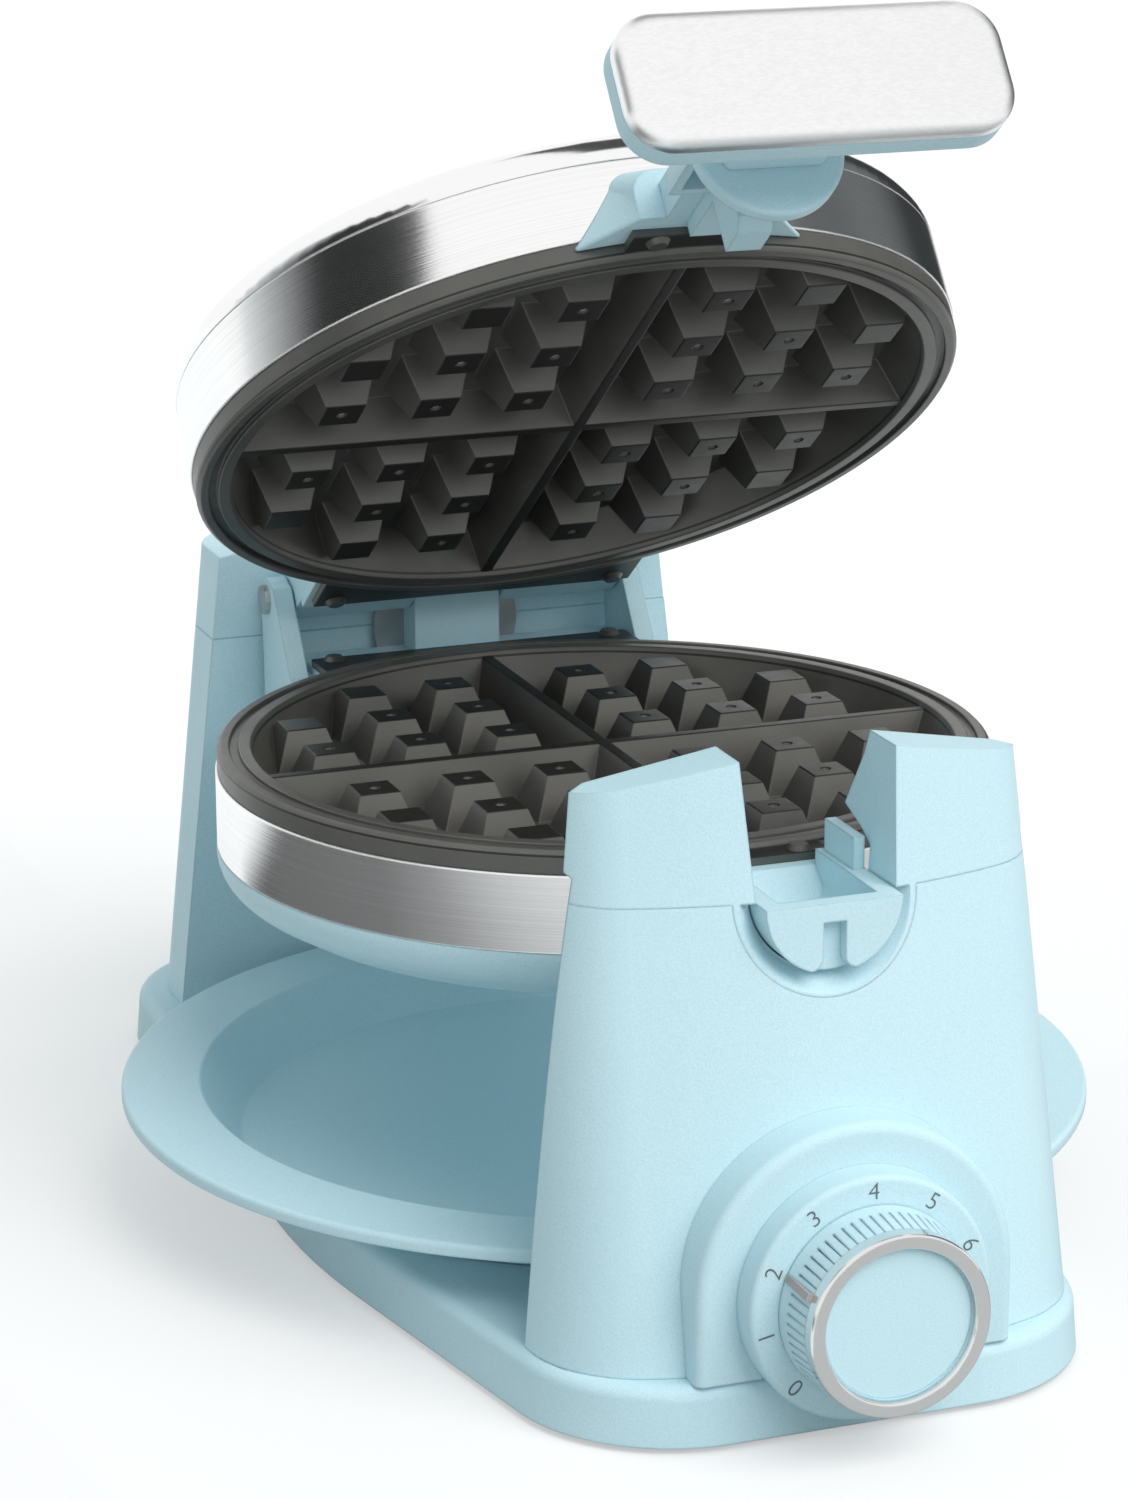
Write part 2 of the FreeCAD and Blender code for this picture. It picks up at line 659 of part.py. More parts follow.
def dial_block():
    """Arch moulding and dial boss that stand out of the front tower."""
    root = -FRONT_INNER - 2 * WALL
    arch = rod_y(ARCH_R, -ARCH_FACE, root, 0, DIAL_Z)
    arch = arch.common(box(-ARCH_R, ARCH_R, -ARCH_FACE, root, DIAL_Z, DIAL_Z + ARCH_R))
    legs = box(-ARCH_R, ARCH_R, -ARCH_FACE, root, DECK_Z, DIAL_Z)
    arch = arch.fuse(legs).removeSplitter()
    rim = edges_at(arch, lambda p: abs(p.y + ARCH_FACE) < 1e-6 and p.z > DECK_Z - 1e-6)
    rim = [e for e in rim if not all(abs(v.Point.z - DECK_Z) < 1e-6 for v in e.Vertexes)]
    arch = arch.makeFillet(ARCH_ROUND, rim)
    boss = rod_y(BOSS_DIAL_R, -BOSS_FACE, root, 0, DIAL_Z)
    boss = boss.makeFillet(BOSS_ROUND, edges_at(boss, lambda p: abs(p.y + BOSS_FACE) < 1e-6))
    return arch.fuse(boss)


def front_tower():
    """Front tower with the dial: the boss laps over the skirt."""
    shell = tower_shell(FRONT)
    dial = dial_block().cut(tower_block(FRONT, DECK_Z, CAVITY_TOP, WALL)).cut(base_block())
    tower = joined([shell, dial])
    bore = rod_y(BUSH_R, -BOSS_FACE, -FRONT_INNER - WALL, 0, DIAL_Z)
    return single(tower.cut([bore, rod_y(SADDLE_R, -FRONT_FOOT_REACH, -FRONT_INNER, 0, AXIS_Z)]))


def rear_tower():
    """Rear tower with the lower half of the bearing seat and the hole for the mains lead."""
    shell = tower_shell(REAR).cut(bearing_seat())
    return single(shell.cut(rod_y(GLAND_R - WALL / 2, REAR_INNER + 2 * WALL, REAR_REACH, 0, GLAND_Z)))


def cap_screws():
    screws = []
    for spec in (FRONT, REAR):
        for x, y in cap_screw_places(spec):
            screws.append(screw_up(x, y, CAVITY_TOP, AXIS_Z - CAVITY_TOP + CAP_SCREW_BITE))
    return Part.makeCompound(screws)


def rear_bearing():
    return rod_y(BEARING_R, BEARING_FRONT, BEARING_BACK, 0, AXIS_Z).cut(
        rod_y(JOURNAL_R + RUN_GAP, BEARING_FRONT, BEARING_BACK, 0, AXIS_Z))


# Dial parts

def thermostat_seat():
    """Inside of the leaning tower wall at the upper edge of the control body."""
    t = (DIAL_Z + THERMOSTAT_R - DECK_Z) / (TOWER_TOP - DECK_Z)
    reach = mix(FRONT["foot_reach"], FRONT["top_reach"], t) - WALL
    return -math.sqrt(reach ** 2 - THERMOSTAT_R ** 2) + SLIDE_GAP


def thermostat():
    """Control body behind the boss, with the threaded neck that the nut pulls up."""
    seat = thermostat_seat()
    body = rod_y(THERMOSTAT_R, seat, -FRONT_INNER - 1.3 * WALL, 0, DIAL_Z)
    neck = rod_y(BUSH_R, -BOSS_FACE - NUT_T, seat, 0, DIAL_Z)
    low = DIAL_Z - THERMOSTAT_R - WALL
    tabs = []
    for s in (-1, 1):
        x = s * THERMOSTAT_TAB_X - THERMOSTAT_TAB_T / 2
        tabs.append(box(x, x + THERMOSTAT_TAB_T, seat + WALL, seat + WALL + THERMOSTAT_TAB_W, low, DIAL_Z))
    whole = joined([body, neck] + tabs)
    return whole.cut(rod_y(SPINDLE_R + RUN_GAP, -BOSS_FACE - NUT_T, seat + 2 * WALL, 0, DIAL_Z))


def thermostat_nut():
    points = [(NUT_R * math.cos(math.radians(60 * i)), DIAL_Z + NUT_R * math.sin(math.radians(60 * i)))
              for i in range(6)]
    nut = slab_y(points, -BOSS_FACE - NUT_T, -BOSS_FACE)
    return nut.cut(rod_y(BUSH_R, -BOSS_FACE - NUT_T, -BOSS_FACE, 0, DIAL_Z))


def turned_to_pointer(shape):
    shape.rotate(V(0, 0, DIAL_Z), V(0, 1, 0), POINTER_DEG)
    return shape


def pointer_slot(extra):
    return box(-POINTER_W / 2, POINTER_W / 2, -RING_FACE + RING_T - extra, -BOSS_FACE - 2 * SLIDE_GAP,
               DIAL_Z + KNOB_NECK_R - POINTER_T, DIAL_Z + KNOB_R + POINTER_T)


def knob_grooves(y0, y1):
    """V grooves round the knob for grip."""
    grooves = []
    for i in range(KNOB_GROOVES):
        middle = 2 * math.pi * i / KNOB_GROOVES
        side = math.pi / KNOB_GROOVES / 2
        out = KNOB_R + KNOB_TAPER
        at = [(out, middle - side), (out, middle + side), (KNOB_NECK_R - GROOVE_CUT, middle)]
        grooves.append(slab_y([(r * math.sin(a), DIAL_Z + r * math.cos(a)) for r, a in at], y0, y1))
    return grooves


def knob_body():
    back = -BOSS_FACE - SLIDE_GAP
    body = cone_y(KNOB_NECK_R, KNOB_R, -KNOB_FACE, back, 0, DIAL_Z)
    body = body.cut(knob_grooves(-RING_FACE + RING_T, back - GROOVE_STOP))
    seat = rod_y(KNOB_R, -RING_FACE, -RING_FACE + RING_T, 0, DIAL_Z)
    seat = seat.cut(rod_y(RING_IN_R, -RING_FACE, -RING_FACE + RING_T, 0, DIAL_Z))
    hollow = rod_y(NUT_R + NUT_T, back - 1.6 * NUT_T, back, 0, DIAL_Z)
    sink = rod_y(RING_IN_R - CAP_PLAY, -RING_FACE, -RING_FACE + 2 * CAP_SUNK, 0, DIAL_Z)
    bore = rod_y(SPINDLE_R, -KNOB_FACE + SPINDLE_STOP, back, 0, DIAL_Z)
    return turned_to_pointer(body.cut([seat, hollow, sink, bore, pointer_slot(0)]))


def knob_ring():
    ring = rod_y(RING_R, -RING_FACE, -RING_FACE + RING_T, 0, DIAL_Z)
    ring = ring.cut(rod_y(RING_IN_R, -RING_FACE, -RING_FACE + RING_T, 0, DIAL_Z))
    return ring.makeFillet(RING_ROUND, edges_at(ring, lambda p: abs(p.y + RING_FACE) < 1e-6))


def knob_cap():
    return rod_y(RING_IN_R - CAP_PLAY, -RING_FACE + CAP_SUNK, -RING_FACE + 2 * CAP_SUNK, 0, DIAL_Z)


def knob_pointer():
    strip = pointer_slot(0)
    return turned_to_pointer(strip.common(rod_y(KNOB_R + RING_OVER, -RING_FACE, -BOSS_FACE, 0, DIAL_Z)))


def knob_shaft():
    return rod_y(SPINDLE_R, -KNOB_FACE + SPINDLE_STOP, thermostat_seat() + WALL, 0, DIAL_Z)


# Head: one half is built below the parting plane, the other is its half turn about the flip axis

def plate_top():
    return AXIS_Z - PLATE_GAP / 2


def tapered_peg(x, y, z0, z1):
    def square(half, z):
        signs = [(-1, -1), (1, -1), (1, 1), (-1, 1), (-1, -1)]
        return Part.makePolygon([V(x + a * half, y + b * half, z) for a, b in signs])
    return Part.makeLoft([square(PEG_FOOT, z0), square(PEG_TOP, z1)], True, True)


def peg_places(most):
    """Peg middles in the four quarters, with row plus column numbers up to most."""
    places = []
    for i in range(PEG_ROWS):
        for j in range(PEG_ROWS):
            if i + j > most:
                continue
            for sx in (-1, 1):
                for sy in (-1, 1):
                    places.append((sx * (PEG_FIRST + i * PEG_PITCH), sy * (PEG_FIRST + j * PEG_PITCH)))
    return places


def waffle_pegs(floor, top):
    """Full pegs in a three, two, one pattern in each quarter, and the ones cut by the round wall."""
    return [tapered_peg(x, y, floor, top) for x, y in peg_places(PEG_ROWS)]


def peg_dimples(top):
    return [rod_z(DIMPLE_R, top - DIMPLE_H, top, x, y) for x, y in peg_places(PEG_ROWS - 1)]


def cross_ridge(floor, top):
    profile = [(-RIDGE_FOOT, floor), (RIDGE_FOOT, floor), (RIDGE_TOP, top), (-RIDGE_TOP, top)]
    along_y = slab_y(profile, -CAVITY_R, CAVITY_R)
    along_x = along_y.copy()
    along_x.rotate(V(0, 0, 0), V(0, 0, 1), 90)
    return [along_y, along_x]


def plate_tab(half, y0, y1):
    top = AXIS_Z - TAB_DROP
    return box(-half, half, y0, y1, top - TAB_T, top)


def grill_plate():
    """Cast plate: rim with an overflow groove, sloping cavity wall, pegs, cross ridge and two tabs."""
    top = plate_top()
    floor = top - CAVITY_H
    skirt = AXIS_Z - RIM_H
    profile = [(0, floor - RIM_T), (CAVITY_FLOOR_R + 1, floor - RIM_T), (CAVITY_R + 1, top - RIM_T),
               (PLATE_R - RIM_T, top - RIM_T), (PLATE_R - RIM_T, skirt), (PLATE_R, skirt), (PLATE_R, top - 1),
               (PLATE_R - 1, top), (GROOVE_R + GROOVE_W / 2, top), (GROOVE_R + GROOVE_W / 2, top - GROOVE_H),
               (GROOVE_R - GROOVE_W / 2, top - GROOVE_H), (GROOVE_R - GROOVE_W / 2, top), (CAVITY_R, top),
               (CAVITY_FLOOR_R, floor), (0, floor)]
    dish = turned(profile)
    cavity = Part.makeCone(CAVITY_FLOOR_R + 1, CAVITY_R + 1, CAVITY_H, V(0, 0, floor))
    peg_top = top - PEG_SHY
    pattern = joined(waffle_pegs(floor, peg_top) + cross_ridge(floor, peg_top)).common(cavity)
    edge = PLATE_R - RIM_T
    tabs = [plate_tab(FRONT_TAB_HALF, -TAB_REACH, -edge + RIM_T),
            plate_tab(REAR_TAB_HALF, math.sqrt(edge ** 2 - REAR_TAB_HALF ** 2), TAB_REACH)]
    tabs = [t.cut(rod_z(PLATE_R - 1, 0, AXIS_Z)) for t in tabs]
    holes = [rod_z(RIVET_R, 0, AXIS_Z, x, y) for x, y in rivet_places()]
    return single(joined([dish, pattern] + tabs).cut(holes + peg_dimples(peg_top)))


def rivet_places():
    y = (PLATE_R + TAB_REACH) / 2
    return [(sx * x, sy * y) for x, sy in ((FRONT_RIVET_X, -1), (REAR_RIVET_X, 1)) for sx in (-1, 1)]


def plate_rivets():
    top = AXIS_Z - TAB_DROP
    rivets = []
    for x, y in rivet_places():
        head = Part.makeCone(RIVET_HEAD_R, RIVET_HEAD_R - 1, RIVET_HEAD_T, V(x, y, top))
        rivets.append(head.fuse(rod_z(RIVET_R, top - RIVET_DEPTH, top, x, y)))
    return Part.makeCompound(rivets)


def steel_band():
    z1 = AXIS_Z - RIM_H
    return rod_z(BAND_R, z1 - BAND_H, z1).cut(rod_z(BAND_R - BAND_T, z1 - BAND_H, z1))


def half_shell(depth, t):
    """Cup inside the band that closes one end of the head, with a ledge for the reflector."""
    r = BAND_R - BAND_T
    z1 = AXIS_Z - RIM_H
    band_z = z1 - BAND_H
    end = AXIS_Z - depth
    bend = mix(band_z, end, 0.62)
    crown = end + CROWN_RISE
    crown_r = SHELL_SHOULDER_R - CROWN_IN

    def at(x, z):
        return V(x, 0, z)

    def arc(a, b, c):
        return Part.Arc(at(*a), at(*b), at(*c)).toShape()

    def line(a, b):
        return Part.LineSegment(at(*a), at(*b)).toShape()

    turn = (mix(BAND_R, SHELL_SHOULDER_R, 0.42), mix(band_z, bend, 0.78))
    slope = (SHELL_SHOULDER_R - CROWN_IN * 0.44, mix(bend, crown, 0.72))
    side = (SHELL_SHOULDER_R, bend)
    rim = (crown_r, crown)
    edges = [line((r, z1), (r, band_z)), line((r, band_z), (BAND_R, band_z)),
             arc((BAND_R, band_z), turn, side), arc(side, slope, rim),
             line(rim, (0, end)), line((0, end), (0, end + t))]
    turn_in = (turn[0] - t, turn[1] + t * 0.4)
    side_in = (side[0] - t * 0.7, side[1] + t * 0.7)
    slope_in = (slope[0] - t * 0.4, slope[1] + t * 0.9)
    rim_in = (rim[0] - t * 0.1, rim[1] + t)
    edges += [line((0, end + t), rim_in), arc(rim_in, slope_in, side_in),
              arc(side_in, turn_in, (r - t, band_z)),
              line((r - t, band_z), (r - t, z1)), line((r - t, z1), (r, z1))]
    cup = Part.Face(Part.Wire(edges)).revolve(V(0, 0, 0), V(0, 0, 1), 360)
    ledge = AXIS_Z - LEDGE_H
    step = turned([(r - t - LEDGE_W, ledge), (r - t, ledge), (r - t, band_z), (r - t - LEDGE_W, band_z)])
    return cup.fuse(step).removeSplitter()


def heater():
    """Tubular element under the plate: an open ring whose ends turn down to the terminals."""
    z = plate_top() - CAVITY_H - RIM_T - HEATER_TUBE_R - SLIDE_GAP / 2
    ring = Part.makeTorus(HEATER_R, HEATER_TUBE_R, V(0, 0, z), V(0, 0, 1), -180, 180, 360 - HEATER_GAP_DEG)
    ring.rotate(V(0, 0, 0), V(0, 0, 1), 90 + HEATER_GAP_DEG / 2)
    return ring


def reflector(shell_t):
    r = BAND_R - BAND_T - shell_t - SLIDE_GAP
    z = AXIS_Z - LEDGE_H
    return rod_z(r, z, z + REFLECTOR_T)


def front_outline(y, low_half, high_half, z0, z1, low_r, high_r):
    """Upright four-sided outline with rounded corners, as a wire at the given y."""
    corners = [(-low_half, z0), (low_half, z0), (high_half, z1), (-high_half, z1)]
    flat = rounded_wire(corners, [low_r, low_r, high_r, high_r], 0)
    flat.rotate(V(0, 0, 0), V(1, 0, 0), 90)
    flat.translate(V(0, y, 0))
    return flat


def front_wing():
    """Flared root of a front bracket, seated on the band."""
    top = tab_seat()
    edge_r = WING_ROUND / 10
    half = TRUNNION_R
    root = front_outline(-WING_BACK, half, WING_ROOT_HALF, AXIS_Z - WING_ROOT_H, top, WING_ROUND, edge_r)
    tip = front_outline(-WING_REACH, half, half, AXIS_Z - TRUNNION_R, top, WING_ROUND, edge_r)
    return Part.makeLoft([root, tip], True, True).cut(rod_z(BAND_R, 0, AXIS_Z))


def rear_wing():
    """Root of the lid's rear bracket, seated on the band."""
    low = AXIS_Z - RIM_H - BAND_H + 1.0
    block = box(-LID_HINGE_HALF, LID_HINGE_HALF, BAND_R * 0.7, WING_REACH, low, tab_seat())
    return block.cut(rod_z(BAND_R, 0, AXIS_Z))


def tab_seat():
    return AXIS_Z - TAB_DROP - TAB_T


def trunnion_notch():
    """Blind slot up the face of the half disc, whose mouth is rounded off at both lobes."""
    half = NOTCH_W / 2
    wide = half + LOBE_R
    low = AXIS_Z - math.sqrt(TRUNNION_R ** 2 - wide ** 2)
    y0, y1 = -TRUNNION_REACH, -TRUNNION_REACH + NOTCH_DEPTH
    slot = box(-half, half, y0, y1, AXIS_Z - TRUNNION_R, AXIS_Z - NOTCH_TOP)
    mouth = box(-wide, wide, y0, y1, AXIS_Z - TRUNNION_R, low + LOBE_R)
    lobes = [rod_y(LOBE_R, y0, y1, s * wide, low + LOBE_R) for s in (-1, 1)]
    return slot.fuse(mouth.cut(lobes))


def front_trunnion():
    """Lower front bracket: half disc with its pocket, notch and cheeks, on a wing that clasps the band."""
    barrel = rod_y(TRUNNION_R, -TRUNNION_REACH, -BAND_R + WALL, 0, AXIS_Z)
    upper = box(-TRUNNION_R, TRUNNION_R, -TRUNNION_REACH, 0, AXIS_Z - SLIDE_GAP / 2, AXIS_Z + TRUNNION_R)
    barrel = barrel.cut(upper)
    clasp = front_wing()
    cheeks = []
    for s in (-1, 1):
        x0, x1 = sorted((s * CHEEK_IN, s * CHEEK_OUT))
        cheeks.append(box(x0, x1, -FRONT_INNER + 2 * SLIDE_GAP, -WING_REACH - SLIDE_GAP,
                          AXIS_Z - TRUNNION_R / 4, AXIS_Z + CHEEK_H))
    pocket = slab_x([(-POCKET_FRONT, AXIS_Z + CHEEK_H), (-POCKET_FRONT, AXIS_Z - POCKET_H),
                     (-POCKET_BACK, AXIS_Z - POCKET_H), (-POCKET_RAMP, tab_seat()),
                     (-POCKET_RAMP, AXIS_Z + CHEEK_H)], -POCKET_HALF, POCKET_HALF)
    pocket = pocket.common(rod_y(TRUNNION_R - POCKET_T, -TRUNNION_REACH, 0, 0, AXIS_Z))
    notch = trunnion_notch()
    above_tab = box(-WIDE_HALF, WIDE_HALF, -POCKET_RAMP, 0, tab_seat(), AXIS_Z + TRUNNION_R)
    whole = joined([barrel.cut(pocket), clasp.cut(pocket)] + [c.cut(pocket) for c in cheeks])
    whole = whole.cut([notch, above_tab, rod_z(BAND_R, 0, TOWER_TOP)])
    return single(whole.cut(rivet_holes()))


def rivet_holes():
    return [rod_z(RIVET_R, AXIS_Z - TAB_DROP - RIVET_DEPTH, AXIS_Z, x, y) for x, y in rivet_places()]


def lid_bracket():
    """Upper front bracket, with the lid shut: wing, neck, hood over the cradle, tongue and cover disc."""
    clasp = half_turn(front_wing())
    low = AXIS_Z + SLIDE_GAP
    disc_back = -TRUNNION_REACH - DISC_GAP
    above = box(-HOOD_R, HOOD_R, disc_back, 0, low, AXIS_Z + HOOD_R)
    hood = rod_y(HOOD_R, disc_back, -HOOD_BACK, 0, AXIS_Z)
    hood = hood.cut(rod_y(HOOD_R - HOOD_T, disc_back + HOOD_T, -HOOD_BACK - HOOD_T, 0, AXIS_Z)).common(above)
    rib = box(-TONGUE_HALF, TONGUE_HALF, disc_back, -WING_REACH + WALL, low, AXIS_Z + HOOD_R - HOOD_T)
    on_tab = 2 * AXIS_Z - tab_seat()
    neck = box(-NECK_HALF, NECK_HALF, -HOOD_BACK - HOOD_T, -BAND_R, on_tab, AXIS_Z + NECK_TOP)
    tongue = slab_x([(-TONGUE_FRONT, low + WALL), (-TONGUE_FRONT, AXIS_Z - TONGUE_H + WALL),
                     (-TONGUE_FRONT + WALL, AXIS_Z - TONGUE_H), (-TONGUE_BACK, AXIS_Z - TONGUE_H),
                     (-TONGUE_BACK, low + WALL)], -TONGUE_HALF, TONGUE_HALF)
    disc = rod_y(DISC_R, disc_back - DISC_T, disc_back, 0, AXIS_Z)
    disc = disc.makeFillet(DISC_ROUND, edges_at(disc, lambda p: abs(p.y - disc_back + DISC_T) < 1e-6))
    whole = joined([clasp, hood, rib, neck, tongue, disc]).cut(rod_z(BAND_R, 0, 2 * TOWER_TOP))
    return single(whole.cut([half_turn(h) for h in rivet_holes()]))


def handle_slab(y0, y1):
    low, high = HANDLE_Z - HANDLE_HALF_H, HANDLE_Z + HANDLE_HALF_H
    outline = front_outline(y0, HANDLE_HALF, HANDLE_HALF, low, high, HANDLE_CORNER, HANDLE_CORNER)
    return Part.Face(outline).extrude(V(0, y1 - y0, 0))


def handle_grip():
    """Moulded backing of the handle, on a stem that seats on the cover disc."""
    bar = handle_slab(-GRIP_BACK - GRIP_T, -GRIP_BACK)
    bar = bar.makeFillet(GRIP_ROUND, edges_at(bar, lambda p: abs(p.y + GRIP_BACK) < 1e-6))
    seat = -TRUNNION_REACH - DISC_GAP - DISC_T
    stem = box(-STEM_HALF, STEM_HALF, -GRIP_BACK - GRIP_T / 5, seat, AXIS_Z - STEM_BELOW, AXIS_Z + STEM_ABOVE)
    stem = stem.makeFillet(GRIP_ROUND, [e for e in stem.Edges if e.BoundBox.YLength > GRIP_ROUND])
    holes = [rod_y(SCREW_R, -GRIP_BACK - GRIP_T, -GRIP_BACK, x, HANDLE_Z) for x in handle_screw_xs()]
    sunk = -GRIP_BACK - SCREW_HEAD_T
    holes += [rod_y(SCREW_HEAD_R, sunk, -GRIP_BACK, x, HANDLE_Z) for x in handle_screw_xs()]
    return single(joined([bar, stem]).cut(holes))


def handle_screw_xs():
    return (-HANDLE_SCREW_X, HANDLE_SCREW_X)


def handle_plate():
    face_y = -GRIP_BACK - GRIP_T - FACE_T
    plate = handle_slab(face_y, -GRIP_BACK - GRIP_T)
    plate = plate.makeFillet(FACE_ROUND, edges_at(plate, lambda p: abs(p.y - face_y) < 1e-6))
    bites = [rod_y(SCREW_R, -GRIP_BACK - GRIP_T - HANDLE_SCREW_BITE, -GRIP_BACK - GRIP_T, x, HANDLE_Z)
             for x in handle_screw_xs()]
    return plate.cut(bites)


def handle_screws():
    screws = []
    for x in handle_screw_xs():
        head = rod_y(SCREW_HEAD_R, -GRIP_BACK - SCREW_HEAD_T, -GRIP_BACK, x, HANDLE_Z)
        tip = -GRIP_BACK - GRIP_T - HANDLE_SCREW_BITE
        screws.append(head.fuse(rod_y(SCREW_R, tip, -GRIP_BACK - SCREW_HEAD_T, x, HANDLE_Z)))
    return Part.makeCompound(screws)


# Rear hinge

def knuckle(x0, x1, y_root, z0, z1):
    """Barrel on the hinge axis with the arm that carries it."""
    barrel = rod_x(KNUCKLE_R, x0, x1, HINGE_Y, HINGE_Z)
    arm = box(x0, x1, y_root, HINGE_Y, z0, z1)
    return barrel.fuse(arm)


def lid_hinge():
    """Rear bracket of the lid, with the lid shut: wing and two arms with their barrels."""
    half = LID_HINGE_HALF
    clasp = half_turn(rear_wing())
    inner = MID_KNUCKLE_HALF + 2 * SLIDE_GAP
    arms = []
    for s in (-1, 1):
        x0, x1 = sorted((s * inner, s * half))
        arms.append(knuckle(x0, x1, BAND_R * 0.9, HINGE_Z - KNUCKLE_R, HINGE_Z + KNUCKLE_R))
    whole = joined([clasp] + arms).cut(rod_z(BAND_R, 0, 2 * TOWER_TOP))
    holes = [half_turn(h) for h in rivet_holes()]
    return single(whole.cut([rod_x(PIN_R + RUN_GAP, -half, half, HINGE_Y, HINGE_Z)] + holes))


def ear_outer():
    return LID_HINGE_HALF + 2 * SLIDE_GAP + EAR_T


def hinge_bracket():
    """Rear bracket of the lower half: block on the band, two ears and a middle knuckle."""
    outer = ear_outer()
    ear_in = outer - EAR_T
    shelf = AXIS_Z - BRACKET_TOP
    block = box(-outer, outer, BAND_R * 0.7, BRACKET_BACK, AXIS_Z - BRACKET_DROP, shelf)
    block = block.cut(rod_z(BAND_R, 0, TOWER_TOP))
    pad = box(-REAR_TAB_HALF, REAR_TAB_HALF, BAND_R * 0.7, WING_REACH, shelf - 1, tab_seat())
    pad = pad.cut(rod_z(BAND_R, 0, TOWER_TOP))
    ears = []
    for s in (-1, 1):
        x0, x1 = sorted((s * ear_in, s * outer))
        barrel = rod_x(KNUCKLE_R, x0, x1, HINGE_Y, HINGE_Z)
        web = slab_x([(BAND_R, shelf - 1), (BRACKET_BACK, shelf - 1), (HINGE_Y + KNUCKLE_R, HINGE_Z),
                      (HINGE_Y, HINGE_Z + KNUCKLE_R),
                      (HINGE_Y - KNUCKLE_R, HINGE_Z + KNUCKLE_R * 0.7)], x0, x1)
        ears.append(barrel.fuse(web))
    mid = MID_KNUCKLE_HALF
    middle = rod_x(KNUCKLE_R, -mid, mid, HINGE_Y, HINGE_Z)
    post = box(-mid, mid, HINGE_Y - KNUCKLE_R, BRACKET_BACK, shelf - 1, HINGE_Z)
    whole = joined([block, pad, middle.fuse(post)] + ears)
    bore = rod_y(WIRE_R, BAND_R, BRACKET_BACK, 0, AXIS_Z - BRACKET_TOP - WIRE_R - WALL)
    return single(whole.cut([rod_x(PIN_R, -outer, outer, HINGE_Y, HINGE_Z), bore] + rivet_holes()))


def hinge_pin():
    outer = ear_outer()
    pin = rod_x(PIN_R, -outer, outer, HINGE_Y, HINGE_Z)
    heads = [rod_x(PIN_HEAD_R, outer, outer + PIN_HEAD_T, HINGE_Y, HINGE_Z),
             rod_x(PIN_HEAD_R, -outer - PIN_HEAD_T, -outer, HINGE_Y, HINGE_Z)]
    return joined([pin] + heads)


def rear_trunnion():
    """Steel journal on the back of the hinge bracket, hollow for the lid's leads."""
    flange = rod_y(JOURNAL_FLANGE_R, BRACKET_BACK, BRACKET_BACK + JOURNAL_FLANGE_T, 0, AXIS_Z)
    whole = flange.fuse(rod_y(JOURNAL_R, BRACKET_BACK, JOURNAL_END, 0, AXIS_Z))
    swing = box(-LID_HINGE_HALF, LID_HINGE_HALF, BRACKET_BACK, HINGE_Y + KNUCKLE_R + SLIDE_GAP,
                HINGE_Z - KNUCKLE_R - SLIDE_GAP, AXIS_Z + JOURNAL_FLANGE_R)
    return whole.cut([swing, rod_y(WIRE_R, BRACKET_BACK, JOURNAL_END, 0, AXIS_Z)])


# Drip tray and service parts

def drip_tray():
    """Round dish: flat floor, sloping wall and a wide rim with a turned-down lip."""
    t = TRAY_T
    bottom = DECK_Z + SLIDE_GAP / 2
    profile = [(0, bottom), (TRAY_FLOOR_R + t, bottom), (TRAY_IN_R + t, TRAY_RIM_Z - t),
               (TRAY_R - t, TRAY_RIM_Z - t), (TRAY_R - t, TRAY_RIM_Z - t - TRAY_LIP),
               (TRAY_R, TRAY_RIM_Z - t - TRAY_LIP),
               (TRAY_R, TRAY_RIM_Z - TRAY_EDGE), (TRAY_R - TRAY_EDGE, TRAY_RIM_Z), (TRAY_IN_R, TRAY_RIM_Z),
               (TRAY_FLOOR_R, bottom + t), (0, bottom + t)]
    return turned(profile)


def cord_gland():
    """Grommet in the back of the rear tower where a mains lead would come out."""
    lean = (REAR_FOOT_REACH - REAR_TOP_REACH) / (TOWER_TOP - DECK_Z)
    wall_y = REAR_FOOT_REACH - lean * (GLAND_Z - DECK_Z)
    seat = wall_y + lean * GLAND_R + RUN_GAP
    neck = rod_y(GLAND_R - WALL / 2, wall_y - WALL - GLAND_LIP, wall_y + GLAND_LIP, 0, GLAND_Z)
    lip = rod_y(GLAND_R, seat, seat + GLAND_LIP, 0, GLAND_Z)
    bore = rod_y(GLAND_BORE, 0, REAR_REACH, 0, GLAND_Z)
    return neck.fuse(lip).cut(bore)


def terminal_block():
    half = TERMINAL_L / 2
    y = REAR_INNER + WALL + SLIDE_GAP
    block = box(-half, half, y, y + TERMINAL_W, DECK_Z, DECK_Z + TERMINAL_H)
    middle = DECK_Z + TERMINAL_H / 2
    ways = [rod_y(TERMINAL_WAY_R, y, y + TERMINAL_W, x * half / 2, middle) for x in (-1, 0, 1)]
    return block.cut(ways)


def opened(shape):
    """The lid's pieces are drawn shut, and turned about the hinge to where they rest."""
    turned_up = shape.copy()
    turned_up.rotate(V(0, HINGE_Y, HINGE_Z), V(-1, 0, 0), OPEN_DEG)
    return turned_up


